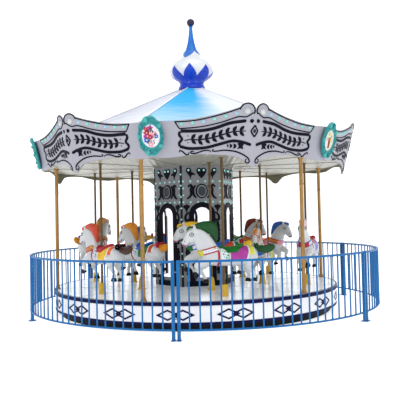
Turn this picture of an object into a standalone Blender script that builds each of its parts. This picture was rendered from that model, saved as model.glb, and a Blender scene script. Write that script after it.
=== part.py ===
# Fairground carousel: a turning deck and canopy on a fixed base, twelve rising horses on poles,
# and a round fence on the ground around it. Metres, +Z up, ground at Z = 0, turning axis on Z.
# Azimuths are in degrees from -Y towards +X, so azimuth 0 faces a visitor standing at -Y.

import math

import bpy
from mathutils import Vector
from mathutils.geometry import tessellate_polygon

# Gaps between touching pieces, and round resolutions
GAP = 0.0003
BEARING_GAP = 0.006
PIN_GAP = 0.0008
DECK_SIDES = 72
POLE_SIDES = 12

# Sector layout: six equal sectors
SECTORS = 6
SECTOR_DEG = 360.0 / SECTORS
POST_AZ = -18.0
POLE_AZ = POST_AZ + SECTOR_DEG / 2
BOARD_AZ = -12.0

# Turning deck and the white skirt under its rim
DECK_R = 2.65
DECK_TOP = 0.46
DECK_T = 0.06
SKIRT_R = 2.635
SKIRT_T = 0.02
SKIRT_BOTTOM = 0.11

# Deck frame: six spokes and a bored hub under the deck
FRAME_T = 0.12
FRAME_R = 2.60
FRAME_HUB_R = 0.42
FRAME_SPOKE_W = 0.10

# Fixed base on the ground with its slewing bearing and centre pin
BASE_T = 0.10
BASE_R = 2.52
BEARING_R = 0.32
PIN_R = 0.10

# Horse poles: an outer and an inner ring, six poles each, in brass sleeves on the deck
POLE_R = 0.021
POLE_BORE_R = 0.0223
POLE_RING_R = {"outer": 2.13, "inner": 1.30}
SLEEVE_R = 0.052
SLEEVE_H = 0.17
POLE_BOTTOM = 0.33
POLE_TOP = 2.95

# Rest height of each horse over the middle of its travel, by ring and azimuth index
REST_LIFT = {
    "outer": (-0.04, 0.00, -0.04, 0.06, 0.09, -0.02),
    "inner": (0.00, -0.14, 0.03, -0.10, -0.08, -0.02),
}

# Centre column: hexagonal shell, one arch a side
COLUMN_R = 0.77
COLUMN_T = 0.03
ARCH_W = 0.40
ARCH_BOTTOM = 0.16
ARCH_TOP = 1.50
ARCH_STEPS = 10

# Gilt posts near the rim
POST_RING_R = 2.59
POST_R = 0.032
POST_FLANGE_R = 0.055
POST_FLANGE_T = 0.015

# Ceiling, roof frame and roof
CEILING_Z = 2.66
CEILING_T = 0.03
MAST_R = 0.14
RAFTER_W = 0.06
RAFTER_H = 0.12
RAFTER_FOOT_R = 2.72
RAFTER_FOOT_W = 0.12
ROOF_SLOPE = 0.426
ROOF_CROWN_R = 0.27
ROOF_CROWN_Z = 4.19
ROOF_T = 0.012

# Rounding boards: flat halves that meet at a crest, leaning out at the top
BOARD_T = 0.022
BOARD_LOW_Z = 2.44
BOARD_LOW_R = 2.81
BOARD_LEAN = 0.26
BOARD_MEDALLION_TOP = 3.12
BOARD_MEDALLION_BOTTOM = 2.60
BOARD_CREST_BOTTOM = 2.455
BOARD_CREST_NOTCH = 3.26
BOARD_FOLD = math.radians(30.0)
KNOB_R = 0.12
KNOB_Z = 3.25

# Medallions over the corners between boards
MEDALLION_W = 0.39
MEDALLION_H = 0.58
MEDALLION_Z = 2.91
MEDALLION_T = 0.035
MEDALLION_LOBES = 8

# Onion finial
BULB_PROFILE = (
    (4.1903, 0.275), (4.235, 0.262), (4.30, 0.235), (4.36, 0.262), (4.44, 0.372), (4.53, 0.425),
    (4.63, 0.412), (4.72, 0.340), (4.82, 0.235), (4.92, 0.150), (4.96, 0.118),
)
SPIRE_PROFILE = (
    (4.9603, 0.118), (5.05, 0.088), (5.20, 0.055), (5.36, 0.036), (5.44, 0.030), (5.452, 0.045),
    (5.48, 0.068), (5.52, 0.077), (5.56, 0.068), (5.588, 0.040), (5.597, 0.012),
)
FINIAL_SIDES = 24

# Fence: six curved modules of round-topped rods, standing free on foot plates
FENCE_CENTRE = (0.16, 0.0)
FENCE_R = 3.22
FENCE_AZ = -8.0
FENCE_GAP_DEG = 0.70
FENCE_H = 1.115
FENCE_RODS = 21
FENCE_ARC_STEPS = 12
ROD_W = 0.025
RAIL_W = 0.03
RAIL_H = 0.04
LOW_RAIL_Z = 0.125
FENCE_POST_W = 0.05
COUPLING_W = 0.018
COUPLING_Z = (0.30, 0.95)
FOOT_W = 0.12
FOOT_T = 0.008


def polar(radius, azimuth, z):
    """Point at a radius and an azimuth in degrees."""
    a = math.radians(azimuth)
    return Vector((radius * math.sin(a), -radius * math.cos(a), z))


def circle(radius, sides, centre=(0.0, 0.0), start=0.0):
    """Corner points of a regular polygon, counter-clockwise."""
    points = []
    for i in range(sides):
        a = math.radians(start) + 2 * math.pi * i / sides
        points.append((centre[0] + radius * math.cos(a), centre[1] + radius * math.sin(a)))
    return points


def material(name, color, roughness, metallic=0.0):
    """Principled material shared by pieces of one finish."""
    found = bpy.data.materials.get(name)
    if found:
        return found
    made = bpy.data.materials.new(name)
    made.use_nodes = True
    shader = made.node_tree.nodes["Principled BSDF"]
    shader.inputs["Base Color"].default_value = (*color, 1.0)
    shader.inputs["Roughness"].default_value = roughness
    shader.inputs["Metallic"].default_value = metallic
    return made


def add_object(name, points, faces, mat, parent=None, smooth=False):
    """Object from points and faces, with its material and parent."""
    mesh = bpy.data.meshes.new(name)
    mesh.from_pydata([tuple(p) for p in points], [], faces)
    mesh.validate()
    if smooth:
        mesh.shade_smooth()
        mesh.set_sharp_from_angle(angle=math.radians(40))
    obj = bpy.data.objects.new(name, mesh)
    bpy.context.scene.collection.objects.link(obj)
    if mat:
        mesh.materials.append(mat)
    obj.parent = parent
    return obj


def prism(outlines, place_low, place_high):
    """Closed plate from a flat outline with holes; the two place functions lift its points."""
    flat = [p for outline in outlines for p in outline]
    count = len(flat)
    caps = tessellate_polygon([[Vector((p[0], p[1], 0.0)) for p in outline] for outline in outlines])
    points = [place_low(p) for p in flat] + [place_high(p) for p in flat]
    faces = []
    for a, b, c in caps:
        area = (flat[b][0] - flat[a][0]) * (flat[c][1] - flat[a][1])
        area -= (flat[c][0] - flat[a][0]) * (flat[b][1] - flat[a][1])
        if area < 0:
            b, c = c, b
        faces.append((a, c, b))
        faces.append((a + count, b + count, c + count))
    start = 0
    for outline in outlines:
        n = len(outline)
        signed = sum(outline[i - 1][0] * outline[i][1] - outline[i][0] * outline[i - 1][1] for i in range(n))
        outer = outline is outlines[0]
        forward = (signed > 0) == outer
        for i in range(n):
            p = start + i
            q = start + (i + 1) % n
            if not forward:
                p, q = q, p
            faces.append((p, q, q + count, p + count))
        start += n
    return points, faces


def plate(outlines, z_low, z_high):
    """Flat horizontal plate with holes."""
    return prism(outlines, lambda p: (p[0], p[1], z_low), lambda p: (p[0], p[1], z_high))


def box(centre, size, turn_deg=0.0):
    """Box turned about Z by an azimuth."""
    a = math.radians(turn_deg)
    points = []
    for dz in (-0.5, 0.5):
        for dx, dy in ((-0.5, -0.5), (0.5, -0.5), (0.5, 0.5), (-0.5, 0.5)):
            x = dx * size[0]
            y = dy * size[1]
            points.append((
                centre[0] + x * math.cos(a) - y * math.sin(a),
                centre[1] + x * math.sin(a) + y * math.cos(a),
                centre[2] + dz * size[2],
            ))
    faces = [(3, 2, 1, 0), (4, 5, 6, 7), (0, 1, 5, 4), (1, 2, 6, 5), (2, 3, 7, 6), (3, 0, 4, 7)]
    return points, faces


def turned(profile, sides, centre=(0.0, 0.0)):
    """Closed solid turned about a vertical axis; the profile is (z, radius) from the bottom up."""
    points = []
    faces = []
    for z, radius in profile:
        for x, y in circle(radius, sides, centre, start=180.0 / sides):
            points.append((x, y, z))
    for row in range(len(profile) - 1):
        for i in range(sides):
            a = row * sides + i
            b = row * sides + (i + 1) % sides
            faces.append((a, b, b + sides, a + sides))
    faces.append(tuple(reversed(range(sides))))
    top = (len(profile) - 1) * sides
    faces.append(tuple(top + i for i in range(sides)))
    return points, faces


def joined(shapes):
    """Points and faces of several shapes in one list."""
    points = []
    faces = []
    for shape_points, shape_faces in shapes:
        offset = len(points)
        points.extend(shape_points)
        faces.extend(tuple(offset + i for i in face) for face in shape_faces)
    return points, faces


def helper(name, shape):
    """Hidden cutter or joining shape for a Boolean."""
    obj = add_object(name, *shape, None)
    obj.hide_render = True
    obj.display_type = "WIRE"
    return obj


def boolean(obj, operation, other, self_overlap=False):
    """Exact Boolean modifier."""
    mod = obj.modifiers.new(operation.title(), "BOOLEAN")
    mod.operation = operation
    mod.solver = "EXACT"
    mod.use_self = self_overlap
    mod.object = other
    return mod


def make_base(mats):
    """Round base on the ground, and the slewing bearing with its centre pin."""
    add_object("base_frame", *plate([circle(BASE_R, DECK_SIDES)], 0.0, BASE_T), mats["base"])
    frame_bottom = DECK_TOP - DECK_T - FRAME_T - GAP
    bearing_top = frame_bottom - BEARING_GAP
    profile = (
        (BASE_T + GAP, BEARING_R), (bearing_top, BEARING_R), (bearing_top + 0.0001, PIN_R),
        (frame_bottom + FRAME_T * 0.8, PIN_R),
    )
    add_object("slewing_bearing", *turned(profile, FINIAL_SIDES), mats["base"])


def pole_places():
    """Name, ring, index and azimuth of each pole."""
    for ring in POLE_RING_R:
        for k in range(SECTORS):
            yield f"{ring}_{k + 1}", ring, k, POLE_AZ + SECTOR_DEG * k


def make_deck(mats, carrier):
    """Deck plate with twelve brass pole sleeves standing on it."""
    deck = add_object("deck", *plate([circle(DECK_R, DECK_SIDES)], DECK_TOP - DECK_T, DECK_TOP), mats["deck"], carrier)
    sleeves = []
    bores = []
    for _, ring, _, azimuth in pole_places():
        centre = polar(POLE_RING_R[ring], azimuth, 0)[:2]
        sleeves.append(turned(((DECK_TOP - 0.02, SLEEVE_R), (DECK_TOP + SLEEVE_H, SLEEVE_R * 0.8)), POLE_SIDES, centre))
        bores.append(turned(((DECK_TOP - 0.2, POLE_BORE_R), (DECK_TOP + 0.4, POLE_BORE_R)), POLE_SIDES, centre))
    boolean(deck, "UNION", helper("deck_sleeves", joined(sleeves)))
    boolean(deck, "DIFFERENCE", helper("deck_bores", joined(bores)))


def make_deck_frame(mats, carrier):
    """Steel star under the deck: a bored hub and six spokes out to the skirt."""
    top = DECK_TOP - DECK_T - GAP
    reach = math.sqrt(FRAME_R ** 2 - (FRAME_SPOKE_W / 2) ** 2)
    star = []
    for k in range(SECTORS):
        azimuth = POST_AZ + SECTOR_DEG * k
        side = polar(FRAME_SPOKE_W / 2, azimuth + 90.0, 0)
        end = polar(reach, azimuth, 0)
        root = polar(math.sqrt(FRAME_HUB_R ** 2 - (FRAME_SPOKE_W / 2) ** 2), azimuth, 0)
        for p in (root - side, end - side, end + side, root + side, polar(FRAME_HUB_R, azimuth + SECTOR_DEG / 2, 0)):
            star.append((p.x, p.y))
    bore = circle(PIN_R + PIN_GAP, FINIAL_SIDES, start=180.0 / FINIAL_SIDES)
    add_object("deck_frame", *plate([star, bore], top - FRAME_T, top), mats["base"], carrier)


def make_skirt(mats, carrier):
    """Thin round skirt hanging under the deck rim."""
    outlines = [circle(SKIRT_R, DECK_SIDES), circle(SKIRT_R - SKIRT_T, DECK_SIDES)]
    add_object("skirt", *plate(outlines, SKIRT_BOTTOM, DECK_TOP - DECK_T - GAP), mats["skirt"], carrier)


def make_column(mats, carrier):
    """Hexagonal column shell with an arched opening in each of its six sides."""
    low = DECK_TOP + GAP
    outer = [polar(COLUMN_R, POST_AZ + SECTOR_DEG * k, 0)[:2] for k in range(SECTORS)]
    inner_r = COLUMN_R - COLUMN_T / math.cos(math.radians(SECTOR_DEG / 2))
    inner = [polar(inner_r, POST_AZ + SECTOR_DEG * k, 0)[:2] for k in range(SECTORS)]
    column = add_object("centre_column", *plate([outer, inner], low, CEILING_Z - GAP), mats["column"], carrier)
    spring = ARCH_TOP - ARCH_W / 2
    arch = [(-ARCH_W / 2, ARCH_BOTTOM), (ARCH_W / 2, ARCH_BOTTOM)]
    for i in range(ARCH_STEPS + 1):
        a = math.pi * i / ARCH_STEPS
        arch.append((ARCH_W / 2 * math.cos(a), spring + ARCH_W / 2 * math.sin(a)))
    cutters = []
    for k in range(SECTORS):
        normal = polar(1.0, POST_AZ + SECTOR_DEG * (k + 0.5), 0)
        along = Vector((-normal.y, normal.x, 0))

        def place(p, depth):
            return normal * depth + along * p[0] + Vector((0, 0, low + p[1]))

        cutters.append(prism([arch], lambda p: place(p, COLUMN_R * 0.7), lambda p: place(p, COLUMN_R * 1.1)))
    boolean(column, "DIFFERENCE", helper("column_arches", joined(cutters)))


def make_post(mats, carrier, k):
    """Gilt post with a round flange at its foot and head."""
    low = DECK_TOP + GAP
    high = CEILING_Z - GAP
    profile = (
        (low, POST_FLANGE_R), (low + POST_FLANGE_T, POST_FLANGE_R), (low + POST_FLANGE_T + 0.006, POST_R),
        (high - POST_FLANGE_T - 0.006, POST_R), (high - POST_FLANGE_T, POST_FLANGE_R), (high, POST_FLANGE_R),
    )
    centre = polar(POST_RING_R, POST_AZ + SECTOR_DEG * k, 0)[:2]
    add_object(f"rim_post_{k + 1}", *turned(profile, POLE_SIDES, centre), mats["gilt"], carrier, smooth=True)


def board_radius(z):
    """Corner radius of the leaning boards at a height."""
    return BOARD_LOW_R + (z - BOARD_LOW_Z) * BOARD_LEAN


def board_wall(z):
    """Distance from the axis to the inner faces of the boards at a height."""
    return board_radius(z) * math.cos(BOARD_FOLD / 2) - BOARD_T


def make_ceiling(mats, carrier):
    """Twelve-sided ceiling plate with a bore for each pole, its edge against the boards."""
    corner_r = (board_wall(CEILING_Z) - GAP) / math.cos(BOARD_FOLD / 2)
    outlines = [[polar(corner_r, BOARD_AZ + SECTOR_DEG / 2 * i, 0)[:2] for i in range(2 * SECTORS)]]
    for _, ring, _, azimuth in pole_places():
        centre = polar(POLE_RING_R[ring], azimuth, 0)[:2]
        outlines.append(circle(POLE_BORE_R, POLE_SIDES, centre, start=180.0 / POLE_SIDES))
    add_object("ceiling", *plate(outlines, CEILING_Z, CEILING_Z + CEILING_T), mats["ceiling"], carrier)


def ridge_z(radius):
    """Height of the roof's upper face along a ridge."""
    return ROOF_CROWN_Z - ROOF_SLOPE * (radius - ROOF_CROWN_R)


def make_canopy_frame(mats, carrier):
    """Mast and six rafters under the roof ridges, each with a foot on the ceiling."""
    base = CEILING_Z + CEILING_T + GAP
    mast = turned(((base, MAST_R), (ROOF_CROWN_Z - GAP, MAST_R)), POLE_SIDES)
    side_drop = RAFTER_W / 2 * ROOF_SLOPE * math.tan(math.radians(SECTOR_DEG / 2))
    drop = ROOF_T + GAP + side_drop
    inner_r = MAST_R * 0.7
    head = ROOF_CROWN_Z - drop
    outline = [
        (RAFTER_FOOT_R, base), (RAFTER_FOOT_R, ridge_z(RAFTER_FOOT_R) - drop),
        (ROOF_CROWN_R, head), (inner_r, head), (inner_r, head - RAFTER_H),
        (RAFTER_FOOT_R - RAFTER_FOOT_W, ridge_z(RAFTER_FOOT_R - RAFTER_FOOT_W) - drop - RAFTER_H),
        (RAFTER_FOOT_R - RAFTER_FOOT_W, base),
    ]
    rafters = []
    for k in range(SECTORS):
        azimuth = POST_AZ + SECTOR_DEG * k
        side = polar(RAFTER_W / 2, azimuth + 90.0, 0)

        def place(p, sign):
            return polar(p[0], azimuth, p[1]) + side * sign

        rafters.append(prism([outline], lambda p: place(p, 1), lambda p: place(p, -1)))
    frame = add_object("canopy_frame", *mast, mats["base"], carrier)
    boolean(frame, "UNION", helper("canopy_rafters", joined(rafters)))


def roof_eave(azimuth, facet_mid):
    """Eave point of a flat roof sheet where it meets the inner faces of the boards."""
    step = SECTOR_DEG / 2
    off = (azimuth - BOARD_AZ) % step - step / 2
    wall = math.cos(math.radians(off))
    fall = ROOF_SLOPE * math.cos(math.radians(azimuth - facet_mid)) / math.cos(math.radians(SECTOR_DEG / 2))
    apex = ROOF_CROWN_Z + ROOF_SLOPE * ROOF_CROWN_R
    lean = BOARD_LEAN * math.cos(BOARD_FOLD / 2)
    radius = (board_wall(apex - ROOF_T) - GAP) / (wall + lean * fall)
    return radius, apex - fall * radius


def make_roof(mats, carrier):
    """Six flat sheets that meet at ridges over the posts, open at the crown."""
    eave = []
    for k in range(SECTORS):
        ridge = POST_AZ + SECTOR_DEG * k
        mid = ridge + SECTOR_DEG / 2
        first_corner = BOARD_AZ + SECTOR_DEG * k
        for azimuth in (ridge, first_corner, first_corner + SECTOR_DEG / 2):
            eave.append((azimuth, *roof_eave(azimuth, mid)))
    points = []
    for drop in (0.0, ROOF_T):
        points += [polar(radius, azimuth, z - drop) for azimuth, radius, z in eave]
        points += [polar(ROOF_CROWN_R, POST_AZ + SECTOR_DEG * k, ROOF_CROWN_Z - drop) for k in range(SECTORS)]
    n = len(eave)
    half = n + SECTORS
    faces = []
    for k in range(SECTORS):
        rim = [(3 * k + i) % n for i in range(4)]
        crown = [n + (k + 1) % SECTORS, n + k]
        faces.append(tuple(rim + crown))
        faces.append(tuple(half + i for i in reversed(rim + crown)))
        faces.append((n + k, n + (k + 1) % SECTORS, half + n + (k + 1) % SECTORS, half + n + k))
    for i in range(n):
        j = (i + 1) % n
        faces.append((j, i, half + i, half + j))
    add_object("roof_sheet", points, faces, mats["roof"], carrier)


def half_board_outline():
    """Outline of one board half: x runs 0 to 1 from the medallion corner to the crest, then z."""
    length = 2 * board_radius(MEDALLION_Z) * math.sin(BOARD_FOLD / 2)
    knob_x = 1.0 - (KNOB_R + 0.004) / length
    top = [(0.0, BOARD_MEDALLION_TOP), (0.22, 3.120), (0.42, 3.147), (0.60, 3.198), (0.76, 3.262), (0.81, 3.288)]
    for i in range(9):
        a = math.radians(150.0 - 22.0 * i)
        top.append((knob_x + KNOB_R * math.cos(a) / length, KNOB_Z + KNOB_R * math.sin(a)))
    low = [(0.965, BOARD_CREST_BOTTOM + 0.007), (0.935, 2.500), (0.913, 2.528), (0.859, 2.585), (0.800, 2.607)]
    low += [(0.700, 2.624), (0.600, 2.634), (0.450, 2.640), (0.285, 2.615), (0.140, 2.592)]
    crest = [(1.0, BOARD_CREST_NOTCH), (1.0, BOARD_CREST_BOTTOM)]
    return [(0.0, BOARD_MEDALLION_BOTTOM)] + top + crest + low


def make_board(mats, carrier, k):
    """Rounding board of two flat halves that fold at the crest."""
    left = BOARD_AZ + SECTOR_DEG * k
    crest = left + SECTOR_DEG / 2
    outline = half_board_outline()
    n = len(outline)
    caps = tessellate_polygon([[Vector((p[0] * 2, p[1], 0.0)) for p in outline]])
    crest_top = outline.index((1.0, BOARD_CREST_NOTCH))
    points = []
    faces = []
    lift = BOARD_T / math.cos(BOARD_FOLD / 2)

    def place(corner, p, back):
        radius = board_radius(p[1]) - (lift if back else 0.0)
        start = polar(radius, corner, p[1])
        end = polar(radius, crest, p[1])
        inset = GAP / 2 if p[0] == 0.0 else 0.0
        return start.lerp(end, p[0] + inset)

    for half, corner in enumerate((left, left + SECTOR_DEG)):
        base = len(points)
        points += [place(corner, p, False) for p in outline] + [place(corner, p, True) for p in outline]
        flip = half == 1
        for a, b, c in caps:
            signed = (outline[b][0] - outline[a][0]) * (outline[c][1] - outline[a][1])
            signed -= (outline[c][0] - outline[a][0]) * (outline[b][1] - outline[a][1])
            if (signed < 0) != flip:
                b, c = c, b
            faces.append((base + a, base + b, base + c))
            faces.append((base + n + a, base + n + c, base + n + b))
        for i in range(n):
            j = (i + 1) % n
            if i == crest_top:
                continue
            face = (base + i, base + j, base + n + j, base + n + i)
            faces.append(tuple(reversed(face)) if flip else face)
    obj = add_object(f"rounding_board_{k + 1}", points, faces, mats["board"], carrier)
    weld = obj.modifiers.new("Weld", "WELD")
    weld.merge_threshold = 0.0001


def make_medallion(mats, carrier, k):
    """Scalloped oval plate over the corner between two boards."""
    azimuth = BOARD_AZ + SECTOR_DEG * k
    normal = polar(1.0, azimuth, 0)
    along = Vector((-normal.y, normal.x, 0))
    up = (Vector((0, 0, 1)) + normal * BOARD_LEAN).normalized()
    out = along.cross(up).normalized()
    if out.dot(normal) < 0:
        out = -out
    centre = polar(board_radius(MEDALLION_Z) + GAP, azimuth, MEDALLION_Z)
    outline = []
    steps = MEDALLION_LOBES * 4
    for i in range(steps):
        a = 2 * math.pi * i / steps
        scallop = 0.965 + 0.035 * math.cos(MEDALLION_LOBES * a)
        outline.append((MEDALLION_W / 2 * scallop * math.cos(a), MEDALLION_H / 2 * scallop * math.sin(a)))

    def face_point(p, depth):
        return centre + along * p[0] + up * p[1] + out * depth

    points, faces = prism([outline], lambda p: face_point(p, 0.0), lambda p: face_point(p, MEDALLION_T))
    add_object(f"medallion_{k + 1}", points, faces, mats["teal"], carrier)


def make_finial(mats, carrier):
    """Onion bulb on its collar, and the spire with its ball."""
    add_object("onion_bulb", *turned(BULB_PROFILE, FINIAL_SIDES), mats["blue"], carrier, smooth=True)
    add_object("spire", *turned(SPIRE_PROFILE, FINIAL_SIDES), mats["blue"], carrier, smooth=True)


def arc_bar(start, end, radius, width, z_low, z_high, steps):
    """Curved bar of rectangular section around the fence centre."""
    outline = []
    for r, order in ((radius + width / 2, range(steps + 1)), (radius - width / 2, range(steps, -1, -1))):
        for i in order:
            p = polar(r, start + (end - start) * i / steps, 0)
            outline.append((p.x + FENCE_CENTRE[0], p.y + FENCE_CENTRE[1]))
    return plate([outline], z_low, z_high)


def make_fence_panel(mats, k):
    """Curved fence module: two rails, upright rods, two end posts and their foot plates."""
    start = FENCE_AZ + SECTOR_DEG * k + FENCE_GAP_DEG
    end = FENCE_AZ + SECTOR_DEG * (k + 1) - FENCE_GAP_DEG
    top = FENCE_H - RAIL_H
    rails = [
        arc_bar(start, end, FENCE_R, RAIL_W, top, FENCE_H, FENCE_ARC_STEPS),
        arc_bar(start, end, FENCE_R, RAIL_W, LOW_RAIL_Z, LOW_RAIL_Z + RAIL_H, FENCE_ARC_STEPS),
    ]
    uprights = []
    for azimuth in (start, end):
        p = polar(FENCE_R, azimuth, 0)
        x = p.x + FENCE_CENTRE[0]
        y = p.y + FENCE_CENTRE[1]
        uprights.append(box((x, y, (FENCE_H + 0.002) / 2), (FENCE_POST_W, FENCE_POST_W, FENCE_H + 0.002), azimuth))
        uprights.append(box((x, y, FOOT_T / 2), (FOOT_W * 0.55, FOOT_W, FOOT_T), azimuth))
    joint_az = start - FENCE_GAP_DEG
    joint = polar(FENCE_R * math.cos(math.radians(FENCE_GAP_DEG)), joint_az, 0)
    reach = 2 * FENCE_R * math.sin(math.radians(FENCE_GAP_DEG)) - FENCE_POST_W * 0.5
    tangent = polar(1.0, joint_az + 90.0, 0)
    middle = joint + tangent * (FENCE_POST_W * 0.25 + GAP)
    for z in COUPLING_Z:
        centre = (middle.x + FENCE_CENTRE[0], middle.y + FENCE_CENTRE[1], z)
        uprights.append(box(centre, (reach, COUPLING_W, COUPLING_W), joint_az))
    for i in range(FENCE_RODS):
        azimuth = start + (end - start) * (i + 1) / (FENCE_RODS + 1)
        p = polar(FENCE_R, azimuth, 0)
        z_low = LOW_RAIL_Z + RAIL_H / 2
        z_high = top + RAIL_H / 2
        centre = (p.x + FENCE_CENTRE[0], p.y + FENCE_CENTRE[1], (z_low + z_high) / 2)
        uprights.append(box(centre, (ROD_W, ROD_W * 0.98, z_high - z_low), azimuth))
    panel = add_object(f"fence_panel_{k + 1}", *joined(rails), mats["fence"])
    boolean(panel, "UNION", helper(f"fence_uprights_{k + 1}", joined(uprights)), self_overlap=True)


# Horse rings (x, z, half width, half height, tilt) in the middle of its travel, forward is +X
HORSE_SIDES = 10
HORSE_TRUNK = (
    (-0.555, 1.140, 0.030, 0.030, 0), (-0.540, 1.140, 0.085, 0.090, 0), (-0.490, 1.135, 0.125, 0.130, 0),
    (-0.400, 1.130, 0.148, 0.150, 0), (-0.240, 1.122, 0.147, 0.147, 0), (-0.080, 1.115, 0.140, 0.140, 0),
    (0.060, 1.115, 0.138, 0.142, 5), (0.160, 1.140, 0.135, 0.155, 20), (0.235, 1.215, 0.118, 0.165, 40),
    (0.285, 1.300, 0.098, 0.158, 48), (0.330, 1.375, 0.083, 0.145, 50), (0.400, 1.465, 0.068, 0.115, 40),
    (0.455, 1.500, 0.058, 0.088, 0),
)
HORSE_HEAD = (
    (0.400, 1.545, 0.030, 0.040, -43), (0.425, 1.530, 0.060, 0.080, -43), (0.475, 1.490, 0.072, 0.105, -43),
    (0.545, 1.430, 0.062, 0.087, -43), (0.605, 1.365, 0.048, 0.060, -43), (0.640, 1.325, 0.030, 0.035, -43),
)


def loft(rings, lift, sides):
    """Closed tube through tilted rings, raised by the lift."""
    points = []
    faces = []
    for x, z, half_w, half_h, turn in rings:
        a = math.radians(turn)
        for i in range(sides):
            t = 2 * math.pi * i / sides
            y = half_w * math.cos(t)
            h = half_h * math.sin(t)
            points.append((x - h * math.sin(a), y, z + lift + h * math.cos(a)))
    for row in range(len(rings) - 1):
        for i in range(sides):
            a = row * sides + i
            b = row * sides + (i + 1) % sides
            faces.append((a, b, b + sides, a + sides))
    faces.append(tuple(reversed(range(sides))))
    last = (len(rings) - 1) * sides
    faces.append(tuple(last + i for i in range(sides)))
    return points, faces


def leg(path, radii, y):
    """Tapered four-sided leg through points (x, z)."""
    points = []
    faces = []
    for (x, z), r in zip(path, radii):
        for dx, dy in ((-1, -1), (1, -1), (1, 1), (-1, 1)):
            points.append((x + dx * r, y + dy * r * 0.8, z))
    for row in range(len(path) - 1):
        for i in range(4):
            a = row * 4 + i
            b = row * 4 + (i + 1) % 4
            faces.append((a, b, b + 4, a + 4))
    faces.append((3, 2, 1, 0))
    top = (len(path) - 1) * 4
    faces.append((top, top + 1, top + 2, top + 3))
    return points, faces


LEGS = (
    (((0.44, 0.88), (0.38, 0.93), (0.44, 1.02), (0.24, 1.10)), (0.030, 0.026, 0.036, 0.070), 0.075),
    (((0.27, 0.755), (0.29, 0.83), (0.36, 0.95), (0.22, 1.09)), (0.032, 0.026, 0.036, 0.070), -0.075),
    (((-0.50, 0.76), (-0.50, 0.83), (-0.40, 0.96), (-0.38, 1.10)), (0.034, 0.028, 0.042, 0.085), 0.075),
    (((-0.42, 0.74), (-0.45, 0.82), (-0.34, 0.95), (-0.38, 1.10)), (0.034, 0.028, 0.042, 0.085), -0.075),
)


def make_horse(mats, name, ring, k, azimuth, carrier):
    """Horse on its pole; both hang on an empty on the pole's axis and slide up and down."""
    holder = bpy.data.objects.new(f"lift_{name}", None)
    bpy.context.scene.collection.objects.link(holder)
    holder.parent = carrier
    holder.location = polar(POLE_RING_R[ring], azimuth, 0)
    holder.rotation_euler = (0, 0, math.radians(azimuth + 180.0))
    lift = REST_LIFT[ring][k]
    trunk = loft(HORSE_TRUNK, lift, HORSE_SIDES)
    horse = add_object(f"horse_{name}", *trunk, mats["horse"], holder, smooth=True)
    limbs = [leg([(x, z + lift) for x, z in path], radii, y) for path, radii, y in LEGS]
    limbs.append(loft(HORSE_HEAD, lift, HORSE_SIDES))
    boolean(horse, "UNION", helper(f"limbs_{name}", joined(limbs)), self_overlap=True)
    bore = turned(((0.5 + lift, POLE_R + GAP), (1.6 + lift, POLE_R + GAP)), POLE_SIDES)
    boolean(horse, "DIFFERENCE", helper(f"pole_bore_{name}", bore))
    for cutter in (f"limbs_{name}", f"pole_bore_{name}"):
        bpy.data.objects[cutter].parent = holder
    pole = turned(((POLE_BOTTOM + lift, POLE_R), (POLE_TOP + lift, POLE_R)), POLE_SIDES)
    add_object(f"pole_{name}", *pole, mats["brass"], holder, smooth=True)


def main():
    for obj in list(bpy.data.objects):
        bpy.data.objects.remove(obj, do_unlink=True)
    mats = {
        "base": material("black_steel", (0.02, 0.02, 0.03), 0.5, 0.3),
        "deck": material("deck_paint", (0.80, 0.82, 0.88), 0.45),
        "skirt": material("skirt_paint", (0.88, 0.90, 0.95), 0.35),
        "column": material("column_panel", (0.42, 0.44, 0.46), 0.30, 0.4),
        "gilt": material("gilt_paint", (0.62, 0.36, 0.10), 0.35, 0.6),
        "brass": material("dull_brass", (0.32, 0.20, 0.08), 0.40, 0.7),
        "ceiling": material("ceiling_sheet", (0.62, 0.62, 0.58), 0.35, 0.2),
        "roof": material("roof_sheet", (0.25, 0.60, 0.92), 0.55),
        "board": material("board_paint", (0.50, 0.50, 0.58), 0.40),
        "teal": material("teal_paint", (0.07, 0.36, 0.40), 0.35),
        "blue": material("royal_blue_paint", (0.03, 0.12, 0.55), 0.20),
        "fence": material("fence_blue", (0.03, 0.20, 0.52), 0.35, 0.2),
        "horse": material("horse_white", (0.85, 0.87, 0.90), 0.25),
    }
    make_base(mats)
    for k in range(SECTORS):
        make_fence_panel(mats, k)
    turntable = bpy.data.objects.new("turntable", None)
    bpy.context.scene.collection.objects.link(turntable)
    make_deck(mats, turntable)
    make_deck_frame(mats, turntable)
    make_skirt(mats, turntable)
    make_ceiling(mats, turntable)
    make_canopy_frame(mats, turntable)
    make_roof(mats, turntable)
    make_finial(mats, turntable)
    make_column(mats, turntable)
    for k in range(SECTORS):
        make_post(mats, turntable, k)
        make_board(mats, turntable, k)
        make_medallion(mats, turntable, k)
    for name, ring, k, azimuth in pole_places():
        make_horse(mats, name, ring, k, azimuth, turntable)


main()
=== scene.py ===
# Looks for the fairground carousel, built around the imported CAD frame. Metres, +Z up.
# Azimuths are in degrees from -Y towards +X, as in the CAD.

import random
from math import atan2, cos, degrees, exp, pi, radians, sin

import bmesh
import bpy
from mathutils import Matrix, Vector
from mathutils.bvhtree import BVHTree
from mathutils.geometry import tessellate_polygon

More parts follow.
